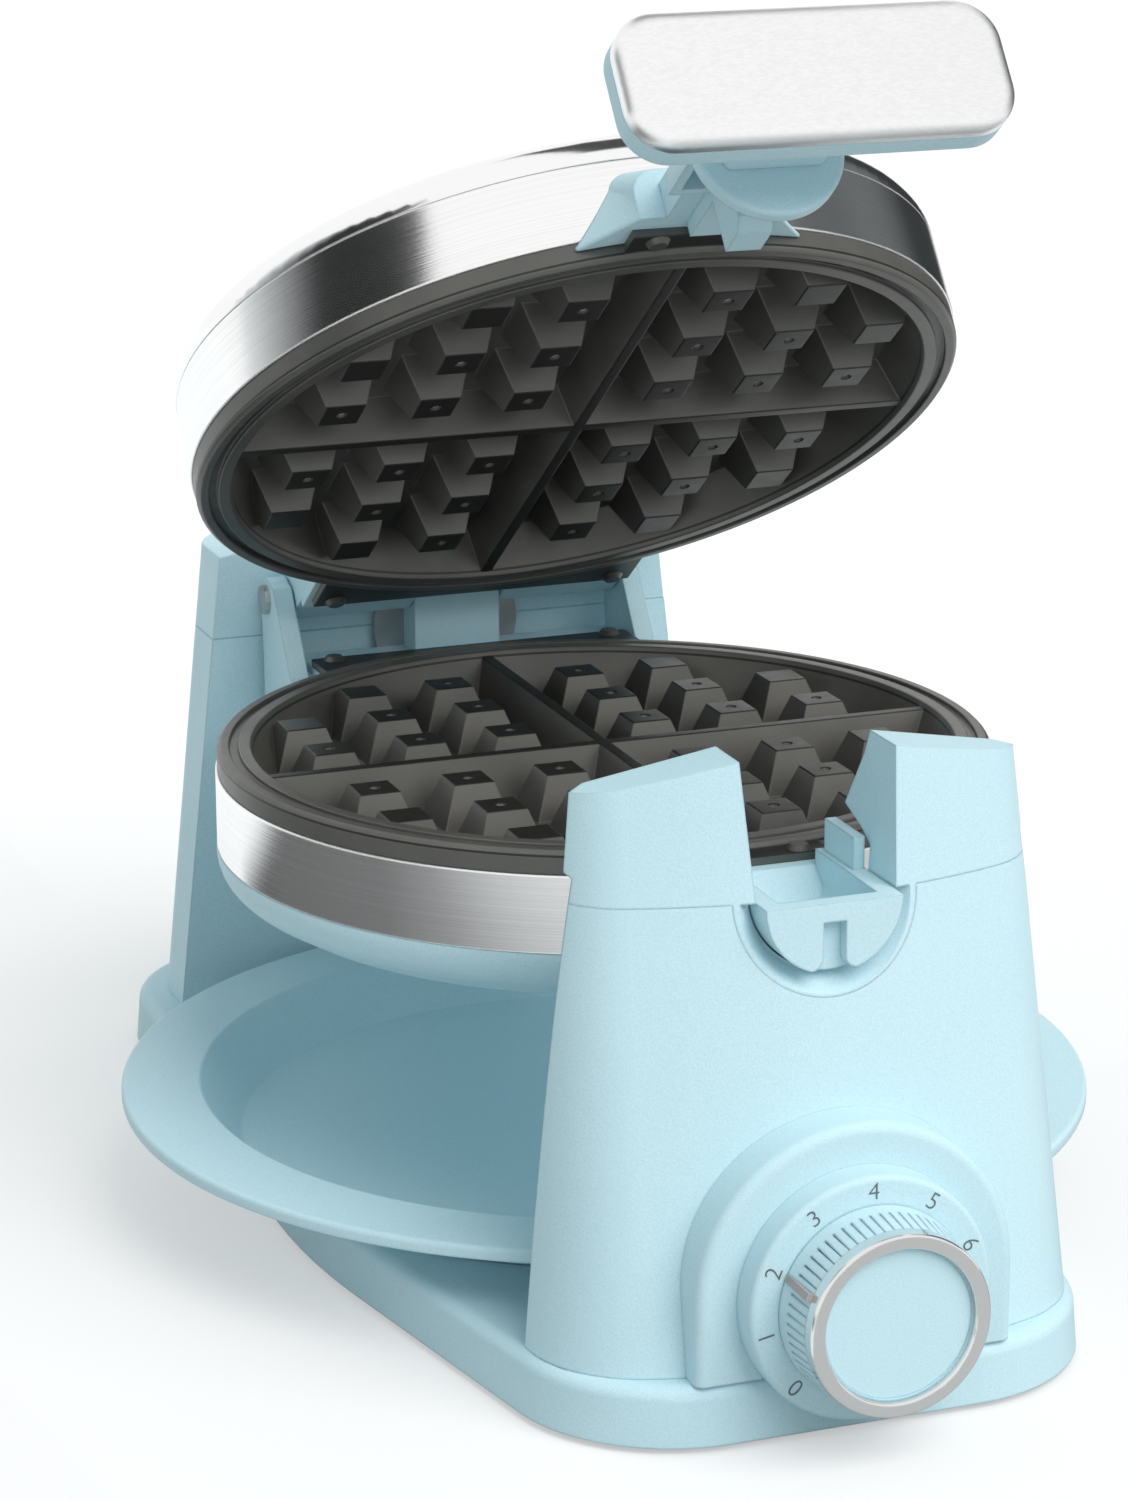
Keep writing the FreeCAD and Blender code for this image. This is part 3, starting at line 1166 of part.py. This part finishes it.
def pieces():
    lower = {
        "base_housing": base_housing(), "base_cover": base_cover(), "rubber_feet": rubber_feet(),
        "base_screws": base_screws(), "tower_screws": tower_screws(),
        "front_tower": front_tower(), "front_cap": front_cap(),
        "rear_tower": rear_tower(), "rear_cap": rear_cap(), "cap_screws": cap_screws(),
        "rear_bearing": rear_bearing(), "thermostat": thermostat(), "thermostat_nut": thermostat_nut(),
        "terminal_block": terminal_block(), "cord_gland": cord_gland(), "drip_tray": drip_tray(),
        "knob_body": knob_body(), "knob_ring": knob_ring(), "knob_cap": knob_cap(),
        "knob_pointer": knob_pointer(), "knob_shaft": knob_shaft(),
        "lower_plate": grill_plate(), "lower_band": steel_band(),
        "lower_shell": half_shell(LOWER_SHELL_H, LOWER_SHELL_T), "lower_heater": heater(),
        "lower_reflector": reflector(LOWER_SHELL_T), "lower_plate_rivets": plate_rivets(),
        "front_trunnion": front_trunnion(), "hinge_bracket": hinge_bracket(), "hinge_pin": hinge_pin(),
        "rear_trunnion": rear_trunnion(),
    }
    lid = {
        "lid_plate": half_turn(grill_plate()), "lid_band": half_turn(steel_band()),
        "lid_cover": half_turn(half_shell(LID_COVER_H, LID_COVER_T)), "lid_heater": half_turn(heater()),
        "lid_reflector": half_turn(reflector(LID_COVER_T)), "lid_plate_rivets": half_turn(plate_rivets()),
        "lid_bracket": lid_bracket(), "lid_hinge": lid_hinge(), "handle_grip": handle_grip(),
        "handle_plate": handle_plate(), "handle_screws": handle_screws(),
    }
    lower.update({name: opened(shape) for name, shape in lid.items()})
    return lower


os.makedirs("parts", exist_ok=True)
for name, shape in pieces().items():
    shape.translate(V(0, CENTRE_Y, 0))
    shape.exportStep("parts/" + name + ".step")
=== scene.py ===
import json
import math

import bpy
from mathutils import Matrix, Vector


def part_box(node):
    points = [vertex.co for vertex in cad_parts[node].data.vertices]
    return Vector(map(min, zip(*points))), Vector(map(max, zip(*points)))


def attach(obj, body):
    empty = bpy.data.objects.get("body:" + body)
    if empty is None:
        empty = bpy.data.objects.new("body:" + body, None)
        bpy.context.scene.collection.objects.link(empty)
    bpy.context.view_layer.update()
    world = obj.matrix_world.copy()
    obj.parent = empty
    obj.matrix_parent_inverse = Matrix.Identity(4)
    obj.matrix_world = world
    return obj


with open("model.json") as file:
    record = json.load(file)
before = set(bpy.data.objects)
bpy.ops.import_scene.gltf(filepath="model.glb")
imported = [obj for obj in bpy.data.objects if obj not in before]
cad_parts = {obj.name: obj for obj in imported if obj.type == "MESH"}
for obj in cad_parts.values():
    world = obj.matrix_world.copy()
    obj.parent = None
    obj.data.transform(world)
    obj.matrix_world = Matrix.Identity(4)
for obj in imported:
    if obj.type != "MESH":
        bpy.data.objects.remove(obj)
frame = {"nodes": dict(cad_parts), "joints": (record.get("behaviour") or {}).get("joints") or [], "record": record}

# Lengths are in metres and angles in radians, unless a name says otherwise.
# Noise scales are in cycles per metre.

NODES = frame["nodes"]
JOINTS = {joint["name"]: joint for joint in frame["joints"]}
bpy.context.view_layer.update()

FLIP = Vector(JOINTS["head_flip"]["pos_m"])
HINGE = Vector(JOINTS["lid_hinge"]["pos_m"])
DIAL = Vector(JOINTS["knob_turn"]["pos_m"])
OPEN = math.radians(-JOINTS["lid_hinge"]["range_deg"][0])      # how far the lid stands open at rest


# Colours

def srgb(red, green, blue):
    """A colour from its 0 to 255 display values."""
    def linear(value):
        share = value / 255.0
        return share / 12.92 if share <= 0.04045 else ((share + 0.055) / 1.055) ** 2.4
    return (linear(red), linear(green), linear(blue), 1.0)


def grey(value):
    return (value, value, value, 1.0)


def darker(colour, share):
    return tuple(channel * share for channel in colour[:3]) + (1.0,)


# Materials

class Mat:
    """A node material with a Principled shader and small helpers for its texture nodes."""

    def __init__(self, name):
        self.mat = bpy.data.materials.new(name)
        self.mat.use_nodes = True
        self.tree = self.mat.node_tree
        self.tree.nodes.clear()
        out = self.node("ShaderNodeOutputMaterial")
        self.bsdf = self.node("ShaderNodeBsdfPrincipled")
        self.link(self.bsdf.outputs[0], out.inputs[0])
        where = self.node("ShaderNodeTexCoord")
        self.coords = where.outputs["Object"]
        self.normals = where.outputs["Normal"]

    def node(self, kind, **values):
        node = self.tree.nodes.new(kind)
        for key, value in values.items():
            setattr(node, key, value)
        return node

    def link(self, output, socket):
        self.tree.links.new(output, socket)

    def set(self, **values):
        """Plain values on the shader's own sockets."""
        for key, value in values.items():
            self.bsdf.inputs[key.replace("_", " ")].default_value = value

    def turned(self, vector, turn):
        """A vector turned about X."""
        mapping = self.node("ShaderNodeMapping")
        mapping.inputs["Rotation"].default_value = (turn, 0, 0)
        self.link(vector, mapping.inputs["Vector"])
        return mapping.outputs[0]

    def mapped(self, scale=(1, 1, 1), turn=0.0):
        """Object coordinates, first turned about X, then scaled."""
        vector = self.turned(self.coords, turn) if turn else self.coords
        mapping = self.node("ShaderNodeMapping")
        mapping.inputs["Scale"].default_value = scale
        self.link(vector, mapping.inputs["Vector"])
        return mapping.outputs[0]

    def axis(self, name, vector):
        parts = self.node("ShaderNodeSeparateXYZ")
        self.link(vector, parts.inputs[0])
        return parts.outputs[name]

    def math(self, operation, *values):
        node = self.node("ShaderNodeMath", operation=operation)
        for socket, value in zip(node.inputs, values):
            if isinstance(value, float):
                socket.default_value = value
            else:
                self.link(value, socket)
        return node.outputs[0]

    def noise(self, scale, detail=2.0, rough=0.5, vector=None):
        node = self.node("ShaderNodeTexNoise")
        node.inputs["Scale"].default_value = scale
        node.inputs["Detail"].default_value = detail
        node.inputs["Roughness"].default_value = rough
        self.link(vector or self.coords, node.inputs["Vector"])
        return node.outputs["Fac"]

    def ramp(self, fac, stops):
        node = self.node("ShaderNodeValToRGB")
        elements = node.color_ramp.elements
        while len(elements) < len(stops):
            elements.new(0.5)
        for element, (position, colour) in zip(elements, stops):
            element.position = position
            element.color = colour
        self.link(fac, node.inputs[0])
        return node.outputs[0]

    def spread(self, fac, low, high):
        """A 0 to 1 value drawn out to run from low to high."""
        node = self.node("ShaderNodeMapRange")
        node.inputs["To Min"].default_value = low
        node.inputs["To Max"].default_value = high
        self.link(fac, node.inputs["Value"])
        return node.outputs[0]

    def mix(self, fac, first, second, mode="MIX"):
        node = self.node("ShaderNodeMix", data_type="RGBA", blend_type=mode)
        share, first_socket, second_socket = node.inputs[0], node.inputs[6], node.inputs[7]
        if isinstance(fac, float):
            share.default_value = fac
        else:
            self.link(fac, share)
        for socket, value in ((first_socket, first), (second_socket, second)):
            if isinstance(value, tuple):
                socket.default_value = value
            else:
                self.link(value, socket)
        return node.outputs[2]

    def colour(self, output):
        self.link(output, self.bsdf.inputs["Base Color"])

    def roughness(self, output):
        self.link(output, self.bsdf.inputs["Roughness"])

    def soft_edges(self, radius):
        """Normals that run round the edges, as on moulded or pressed parts."""
        node = self.node("ShaderNodeBevel", samples=3)
        node.inputs["Radius"].default_value = radius
        return node.outputs[0]

    def bump(self, height, strength, distance, under=None):
        """Relief on the surface, on top of the normals that another node gives."""
        node = self.node("ShaderNodeBump")
        node.inputs["Strength"].default_value = strength
        node.inputs["Distance"].default_value = distance
        self.link(height, node.inputs["Height"])
        if under is not None:
            self.link(under, node.inputs["Normal"])
        self.link(node.outputs[0], self.bsdf.inputs["Normal"])
        return node.outputs[0]


def moulded(name, pale, deep, rough=(0.42, 0.54), grain=0.16):
    """Moulded plastic: faint clouding, fine speckle and a light spark-eroded grain."""
    m = Mat(name)
    cloud = m.noise(scale=14.0, detail=3.0)
    speck = m.noise(scale=2400.0, detail=1.0)
    tone = m.ramp(cloud, [(0.30, deep), (0.70, pale)])
    fleck = m.ramp(speck, [(0.36, grey(0.80)), (0.60, grey(1.0))])
    m.colour(m.mix(0.35, tone, fleck, "MULTIPLY"))
    m.roughness(m.spread(m.noise(scale=60.0, detail=4.0), *rough))
    pitted = m.noise(scale=1300.0, detail=2.0)
    grained = m.bump(pitted, strength=grain, distance=0.0004, under=m.soft_edges(0.0008))
    m.bump(cloud, strength=0.03, distance=0.002, under=grained)
    return m.mat


def brushed(name, tone, rough, streak_scale, turn=0.0, edge=0.0006):
    """Brushed metal: fine streaks, drawn out along one direction of the piece."""
    m = Mat(name)
    m.set(Metallic=1.0)
    streaks = m.noise(scale=1.0, detail=3.0, rough=0.6, vector=m.mapped(streak_scale, turn))
    broad = m.noise(scale=9.0, detail=2.0)
    m.colour(m.ramp(streaks, [(0.30, darker(tone, 0.90)), (0.70, tone)]))
    m.roughness(m.mix(0.5, m.spread(streaks, *rough), m.spread(broad, *rough)))
    m.bump(streaks, strength=0.06, distance=0.0002, under=m.soft_edges(edge))
    return m.mat


def polished(name, tone, rough):
    """Bright pressed or plated metal with faint wiping marks."""
    m = Mat(name)
    m.set(Metallic=1.0)
    marks = m.noise(scale=45.0, detail=5.0, rough=0.65)
    m.colour(m.ramp(m.noise(scale=7.0, detail=2.0), [(0.3, darker(tone, 0.94)), (0.7, tone)]))
    m.roughness(m.spread(marks, rough * 0.7, rough * 1.4))
    m.bump(marks, strength=0.015, distance=0.001, under=m.soft_edges(0.0004))
    return m.mat


def nonstick(name, peg_level, dimple_level, turn=0.0):
    """Non-stick coat over cast metal: charcoal sparkle, painted shade on the peg tops and a painted highlight in
    each dimple.
    """
    m = Mat(name)
    m.set(Metallic=0.35)
    cloud = m.noise(scale=30.0, detail=4.0)
    spark = m.noise(scale=5200.0, detail=1.0)
    tone = m.ramp(cloud, [(0.3, srgb(97, 97, 93)), (0.72, srgb(116, 115, 110))])
    flake = m.ramp(spark, [(0.50, grey(0.74)), (0.74, grey(1.0))])
    coat = m.mix(0.6, tone, flake, "MULTIPLY")
    level = m.axis("Z", m.mapped(turn=turn))
    facing = m.math("ABSOLUTE", m.axis("Z", m.turned(m.normals, turn)))
    flat = m.math("GREATER_THAN", facing, NEARLY_LEVEL)
    # Masks for the painted shade on the peg tops and the painted highlight in the dimples.
    painted_shade_on_top = m.math("COMPARE", level, peg_level, PAINTED_TONE_REACH)
    painted_highlight_in_dimple = m.math("MULTIPLY", m.math("COMPARE", level, dimple_level, PAINTED_TONE_REACH), flat)
    # Painted shade: the peg tops are coloured near black.
    coat = m.mix(painted_shade_on_top, coat, srgb(50, 50, 48))
    # Painted highlight: the flat bottom of each dimple is coloured light grey.
    m.colour(m.mix(painted_highlight_in_dimple, coat, srgb(188, 188, 184)))
    m.roughness(m.spread(m.noise(scale=240.0, detail=3.0), 0.32, 0.46))
    cast = m.noise(scale=1900.0, detail=2.0)
    m.bump(cast, strength=0.10, distance=0.0003, under=m.soft_edges(0.0005))
    return m.mat


def plain(name, low, high, rough, metallic=0.0):
    """Small or inner part: two tones of its material with a little wear."""
    m = Mat(name)
    m.set(Metallic=metallic)
    cloud = m.noise(scale=70.0, detail=4.0)
    m.colour(m.ramp(cloud, [(0.3, low), (0.7, high)]))
    m.roughness(m.spread(cloud, rough * 0.85, rough * 1.15))
    m.bump(m.noise(scale=1400.0, detail=2.0), strength=0.08, distance=0.0003)
    return m.mat


PEG_SHY = 0.0015               # peg tops under the rim of the plate
PAINTED_TONE_REACH = 0.0003              # reach of the painted shade on a peg top and of the painted highlight in a dimple, up and down
DIMPLE_DEPTH = 0.0009
NEARLY_LEVEL = 0.9             # normals with at least this share along the plate's axis are of flat faces
PEG_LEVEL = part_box("lower_plate")[1][2] - PEG_SHY
# The lid's plate mirrors the lower one when shut. This is its peg level in coordinates turned with the lid.
LID_PEG_LEVEL = 2 * FLIP.z - PEG_LEVEL - HINGE.z + HINGE.y * math.sin(OPEN) + HINGE.z * math.cos(OPEN)

STEEL = grey(0.98)
BAND_ROUGH = (0.11, 0.19)
BAND_STREAKS = (6, 6, 2600)    # long round the band, fine across it
HANDLE_STREAKS = (700, 2600, 2600)

# One material for each of the record's slots.
MATERIALS = {
    "blue_plastic": moulded("sky_blue_plastic", srgb(201, 231, 239), srgb(196, 228, 237)),
    "base_plastic": moulded("under_plastic", srgb(118, 134, 140), srgb(108, 124, 130), (0.5, 0.6), 0.2),
    "rubber": plain("foot_rubber", srgb(28, 28, 30), srgb(40, 40, 42), 0.75),
    "fastener_steel": plain("plain_steel", grey(0.42), grey(0.55), 0.34, metallic=1.0),
    "band_steel": brushed("band_steel", STEEL, BAND_ROUGH, BAND_STREAKS),
    "cover_steel": polished("cover_steel", grey(0.96), 0.14),
    "handle_steel": brushed("handle_steel", STEEL, (0.26, 0.34), HANDLE_STREAKS, OPEN, edge=0.0024),
    "ring_chrome": polished("ring_chrome", srgb(236, 235, 234), 0.13),
    "nonstick_plate": nonstick("lower_coat", PEG_LEVEL, PEG_LEVEL - DIMPLE_DEPTH),
    "heater_tube": plain("heater_tube", grey(0.10), grey(0.20), 0.45, metallic=1.0),
    "reflector_sheet": polished("reflector_sheet", grey(0.78), 0.25),
    "bearing_plastic": plain("bearing_plastic", srgb(220, 218, 208), srgb(232, 230, 222), 0.45),
    "control_plastic": plain("control_plastic", srgb(26, 23, 22), srgb(40, 36, 34), 0.4),
    "nut_brass": plain("nut_brass", srgb(170, 140, 70), srgb(196, 164, 90), 0.3, metallic=1.0),
    "terminal_plastic": plain("terminal_plastic", srgb(216, 216, 210), srgb(230, 230, 226), 0.5),
}
RIVET = plain("coated_rivet", srgb(86, 85, 82), srgb(110, 108, 104), 0.36, metallic=0.6)
# Nodes whose finish differs from the rest of their slot.
OWN = {
    "lid_band": brushed("lid_band_steel", STEEL, BAND_ROUGH, BAND_STREAKS, OPEN),
    "lid_plate": nonstick("lid_coat", LID_PEG_LEVEL, LID_PEG_LEVEL + DIMPLE_DEPTH, OPEN),
    "knob_cap": moulded("sky_blue_smooth", srgb(202, 234, 242), srgb(198, 231, 240), (0.30, 0.40), 0.05),
    "knob_pointer": plain("pointer_strip", srgb(166, 160, 158), srgb(178, 172, 170), 0.5),
    "lower_plate_rivets": RIVET,
    "lid_plate_rivets": RIVET,
}
PRINT = plain("dial_print", srgb(92, 100, 104), srgb(106, 114, 118), 0.6)


def dress_nodes():
    for part in frame["record"]["subparts"]:
        name = part["node"]
        data = NODES[name].data
        data.materials.clear()
        data.materials.append(OWN.get(name, MATERIALS[part["material_slot"]]))


# Edges

ROUND_MM = {"rear_cap": 0.35, "lower_band": 0.4, "lid_band": 0.4, "lower_plate": 0.3, "lid_plate": 0.3,
            "drip_tray": 0.5, "handle_grip": 0.5}
ROUND_SEGMENTS = 2
WELD_GAP = 2e-5               # points closer than this become one
FLAT = math.radians(0.5)       # faces that turn by less than this become one
SHARP = math.radians(32)       # edges that turn by more than this are creases
LARGE_FACE_WEIGHT = 80         # large faces keep flat normals beside small rounds


def weld(obj):
    obj.modifiers.new("weld", "WELD").merge_threshold = WELD_GAP


def even_normals(obj):
    obj.modifiers.new("even_normals", "WEIGHTED_NORMAL").weight = LARGE_FACE_WEIGHT


def soften():
    """Small rounds on moulded and pressed edges, so that they catch the light and seams show."""
    for name, width_mm in ROUND_MM.items():
        obj = NODES[name]
        weld(obj)
        flats = obj.modifiers.new("whole_flats", "DECIMATE")
        flats.decimate_type = "DISSOLVE"
        flats.angle_limit = FLAT
        bevel = obj.modifiers.new("soft_edges", "BEVEL")
        bevel.width = width_mm / 1000.0
        bevel.segments = ROUND_SEGMENTS
        bevel.limit_method = "ANGLE"
        bevel.angle_limit = SHARP
        bevel.use_clamp_overlap = False
        even_normals(obj)


def smooth_dome():
    """Even shading over the middle of the lid's domed cover, with its creases kept."""
    obj = NODES["lid_cover"]
    weld(obj)
    creases = obj.modifiers.new("creases", "EDGE_SPLIT")
    creases.split_angle = SHARP
    even_normals(obj)


# Pieces

DIGITS = 7
FIRST_DIGIT_DEG = -135.0       # from the top of the dial, clockwise
DIGIT_STEP_DEG = 33.75
DIGIT_CIRCLE_R = 0.0272
DIGIT_SIZE = 0.0062
DIGIT_THINNING = -0.00009      # takes weight off the font's strokes
PRINT_HALF = 0.00004           # half the thickness of the print
PRINT_LIFT = 0.00006           # middle of the print in front of the boss


def new_object(name, data):
    obj = bpy.data.objects.new(name, data)
    bpy.context.scene.collection.objects.link(obj)
    return obj


def dial_digits():
    """Numbers round the dial, printed on the boss, whose face is where the thermostat's nut sits."""
    face_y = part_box("thermostat_nut")[1][1] - PRINT_LIFT
    upright = Matrix.Rotation(math.radians(90), 4, "X")
    for number in range(DIGITS):
        name = "dial_digit_%d" % number
        turn = math.radians(FIRST_DIGIT_DEG + DIGIT_STEP_DEG * number)
        curve = bpy.data.curves.new(name, "FONT")
        curve.body = str(number)
        curve.size = DIGIT_SIZE
        curve.offset = DIGIT_THINNING
        curve.extrude = PRINT_HALF
        curve.align_x = "CENTER"
        curve.align_y = "CENTER"
        curve.materials.append(PRINT)
        obj = new_object(name, curve)
        across, above = DIGIT_CIRCLE_R * math.sin(turn), DIGIT_CIRCLE_R * math.cos(turn)
        at = Vector((DIAL.x + across, face_y, DIAL.z + above))
        obj.matrix_world = Matrix.Translation(at) @ Matrix.Rotation(turn, 4, "Y") @ upright
        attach(obj, "base")


# Stage

FLOOR_HALF = 8.0
FLOOR_TONES = [(0.3, (0.495, 0.497, 0.497, 1.0)), (0.7, (0.505, 0.507, 0.507, 1.0))]
FLOOR_LIFT = 0.45              # keeps the bare floor white where it is seen
SKY_COLOUR = (0.89, 1.0, 1.03, 1.0)
SKY_STRENGTH = 0.60
KEY_COLOUR = (1.0, 0.945, 0.93)
KEY_ENERGY = 2.42
KEY_ANGLE = math.radians(50)
KEY_TRAVEL = Vector((-0.30, 0.60, -0.74))

LEFT_X = -0.43
RIGHT_X = 0.7
TOP_Z = 1.2
FLOOR_Z = 0.002                # just over the floor


def upright_card(x, *corners):
    return [(x, y, z) for y, z in corners]


def level_card(z, *corners):
    return [(x, y, z) for x, y in corners]


# Corners of each card, and its tones by their place along Y.
CARDS = {
    "left_card": (
        upright_card(LEFT_X, (-0.13, 0.67), (-0.13, 0.40), (0.28, 0.12), (0.28, 0.48)),
        [(-0.13, 0.03), (0.08, 0.03), (0.16, 0.42), (0.26, 0.92), (0.28, 0.92)]),
    "floor_card": (
        level_card(FLOOR_Z, (-0.80, -0.50), (-0.12, -0.50), (-0.24, 0.30), (-0.80, 0.30)),
        [(-0.50, 0.75), (-0.32, 0.50), (-0.20, 0.26), (-0.08, 0.16), (0.17, 0.13), (0.23, 0.08), (0.30, 0.95)]),
    "far_card": (
        level_card(FLOOR_Z, (-1.8, 0.30), (-0.08, 0.30), (-0.08, 2.6), (-1.8, 2.6)),
        [(0.30, 0.93), (2.6, 0.93)]),
    "front_card": (
        level_card(FLOOR_Z, (-0.06, -1.0), (0.75, -1.0), (0.75, 0.04), (-0.06, 0.04)),
        [(-1.0, 0.85), (-0.65, 0.42), (-0.32, 0.54), (-0.20, 0.54), (-0.12, 0.22), (0.04, 0.22)]),
    "right_card": (
        upright_card(RIGHT_X, (0.11, 0.0), (0.9, 0.0), (0.9, 0.75), (0.11, 0.75)),
        [(0.11, 0.27), (0.22, 0.25), (0.4, 0.07), (0.9, 0.08)]),
    "high_card": (
        upright_card(RIGHT_X, (-0.34, 0.25), (0.11, 0.25), (0.11, 1.25), (-0.34, 1.25)),
        [(-0.34, 0.40), (-0.15, 0.21), (0.0, 0.21), (0.11, 0.27)]),
    "top_card": (
        level_card(TOP_Z, (0.0, -0.06), (0.5, -0.06), (0.5, 0.9), (0.0, 0.9)),
        [(-0.06, 0.10), (0.9, 0.14)]),
}


def stage_plane(name, corners, mat):
    mesh = bpy.data.meshes.new(name)
    mesh.from_pydata([Vector(corner) for corner in corners], [], [(0, 1, 2, 3)])
    mesh.materials.append(mat)
    obj = new_object(name, mesh)
    return obj


def card(name, corners, tones):
    """Toned card that only glossy surfaces see, as beside a photographer's table."""
    m = Mat(name)
    m.set(Roughness=1.0, Specular_IOR_Level=0.0)
    first, last = tones[0][0], tones[-1][0]
    place = m.node("ShaderNodeMapRange")
    place.inputs["From Min"].default_value = first
    place.inputs["From Max"].default_value = last
    m.link(m.axis("Y", m.coords), place.inputs["Value"])
    m.colour(m.ramp(place.outputs[0], [((y - first) / (last - first), grey(tone)) for y, tone in tones]))
    obj = stage_plane(name, corners, m.mat)
    obj.visible_camera = False
    obj.visible_diffuse = False
    obj.visible_shadow = False
    obj.visible_transmission = False


def seen_directly(tree):
    """1 where the picture, bright metal or glass looks at a surface, 0 where it only lights the object."""
    path = tree.nodes.new("ShaderNodeLightPath")
    result = path.outputs["Is Camera Ray"]
    for kind in ("Is Glossy Ray", "Is Transmission Ray"):
        either = tree.nodes.new("ShaderNodeMath")
        either.operation = "MAXIMUM"
        tree.links.new(result, either.inputs[0])
        tree.links.new(path.outputs[kind], either.inputs[1])
        result = either.outputs[0]
    return result


def floor():
    m = Mat("studio_floor")
    m.colour(m.ramp(m.noise(scale=3.0, detail=2.0), FLOOR_TONES))
    m.set(Roughness=0.7, Specular_IOR_Level=0.2, Emission_Color=grey(1.0))
    m.link(m.math("MULTIPLY", seen_directly(m.tree), FLOOR_LIFT), m.bsdf.inputs["Emission Strength"])
    near, far = -FLOOR_HALF, FLOOR_HALF
    stage_plane("studio_floor", level_card(0, (near, near), (far, near), (far, far), (near, far)), m.mat)


def background(tree, colour, strength):
    node = tree.nodes.new("ShaderNodeBackground")
    node.inputs[0].default_value = colour
    node.inputs[1].default_value = strength
    return node.outputs[0]


def sky():
    """Even soft light, which is plain white where it is seen."""
    world = bpy.data.worlds.new("studio")
    bpy.context.scene.world = world
    world.use_nodes = True
    tree = world.node_tree
    tree.nodes.clear()
    out = tree.nodes.new("ShaderNodeOutputWorld")
    choose = tree.nodes.new("ShaderNodeMixShader")
    tree.links.new(seen_directly(tree), choose.inputs[0])
    tree.links.new(background(tree, SKY_COLOUR, SKY_STRENGTH), choose.inputs[1])
    tree.links.new(background(tree, grey(1.0), 1.0), choose.inputs[2])
    tree.links.new(choose.outputs[0], out.inputs[0])


def key_light():
    """Broad light from the front, right and above."""
    light = bpy.data.lights.new("soft_key", "SUN")
    light.energy = KEY_ENERGY
    light.color = KEY_COLOUR
    light.angle = KEY_ANGLE
    obj = new_object("soft_key", light)
    obj.rotation_euler = KEY_TRAVEL.to_track_quat("-Z", "Y").to_euler()
    obj.visible_glossy = False


# Camera

SENSOR_MM = 36.0
LENS_MM = 102.74
CAMERA_AT = Vector((-0.39023, FLIP.y - 1.02683, 0.44135))
AZIMUTH = math.radians(-20.26)
ELEVATION = math.radians(16.16)
ROLL = math.radians(-0.17)


def camera():
    data = bpy.data.cameras.new("photo_camera")
    data.sensor_fit = "VERTICAL"
    data.sensor_height = SENSOR_MM
    data.lens = LENS_MM
    data.clip_end = 50.0
    ahead = Vector((-math.sin(AZIMUTH) * math.cos(ELEVATION), math.cos(AZIMUTH) * math.cos(ELEVATION),
                    -math.sin(ELEVATION)))
    right = Vector((math.cos(AZIMUTH), math.sin(AZIMUTH), 0.0))
    up = right.cross(ahead)
    side = right * math.cos(ROLL) + up * math.sin(ROLL)
    top = up * math.cos(ROLL) - right * math.sin(ROLL)
    obj = new_object("photo_camera", data)
    obj.matrix_world = Matrix.Translation(CAMERA_AT) @ Matrix((side, top, -ahead)).transposed().to_4x4()
    bpy.context.scene.camera = obj


dress_nodes()
soften()
smooth_dome()
dial_digits()
floor()
for card_name, (card_corners, card_tones) in CARDS.items():
    card(card_name, card_corners, card_tones)
sky()
key_light()
camera()
bpy.context.scene.view_settings.view_transform = "Standard"
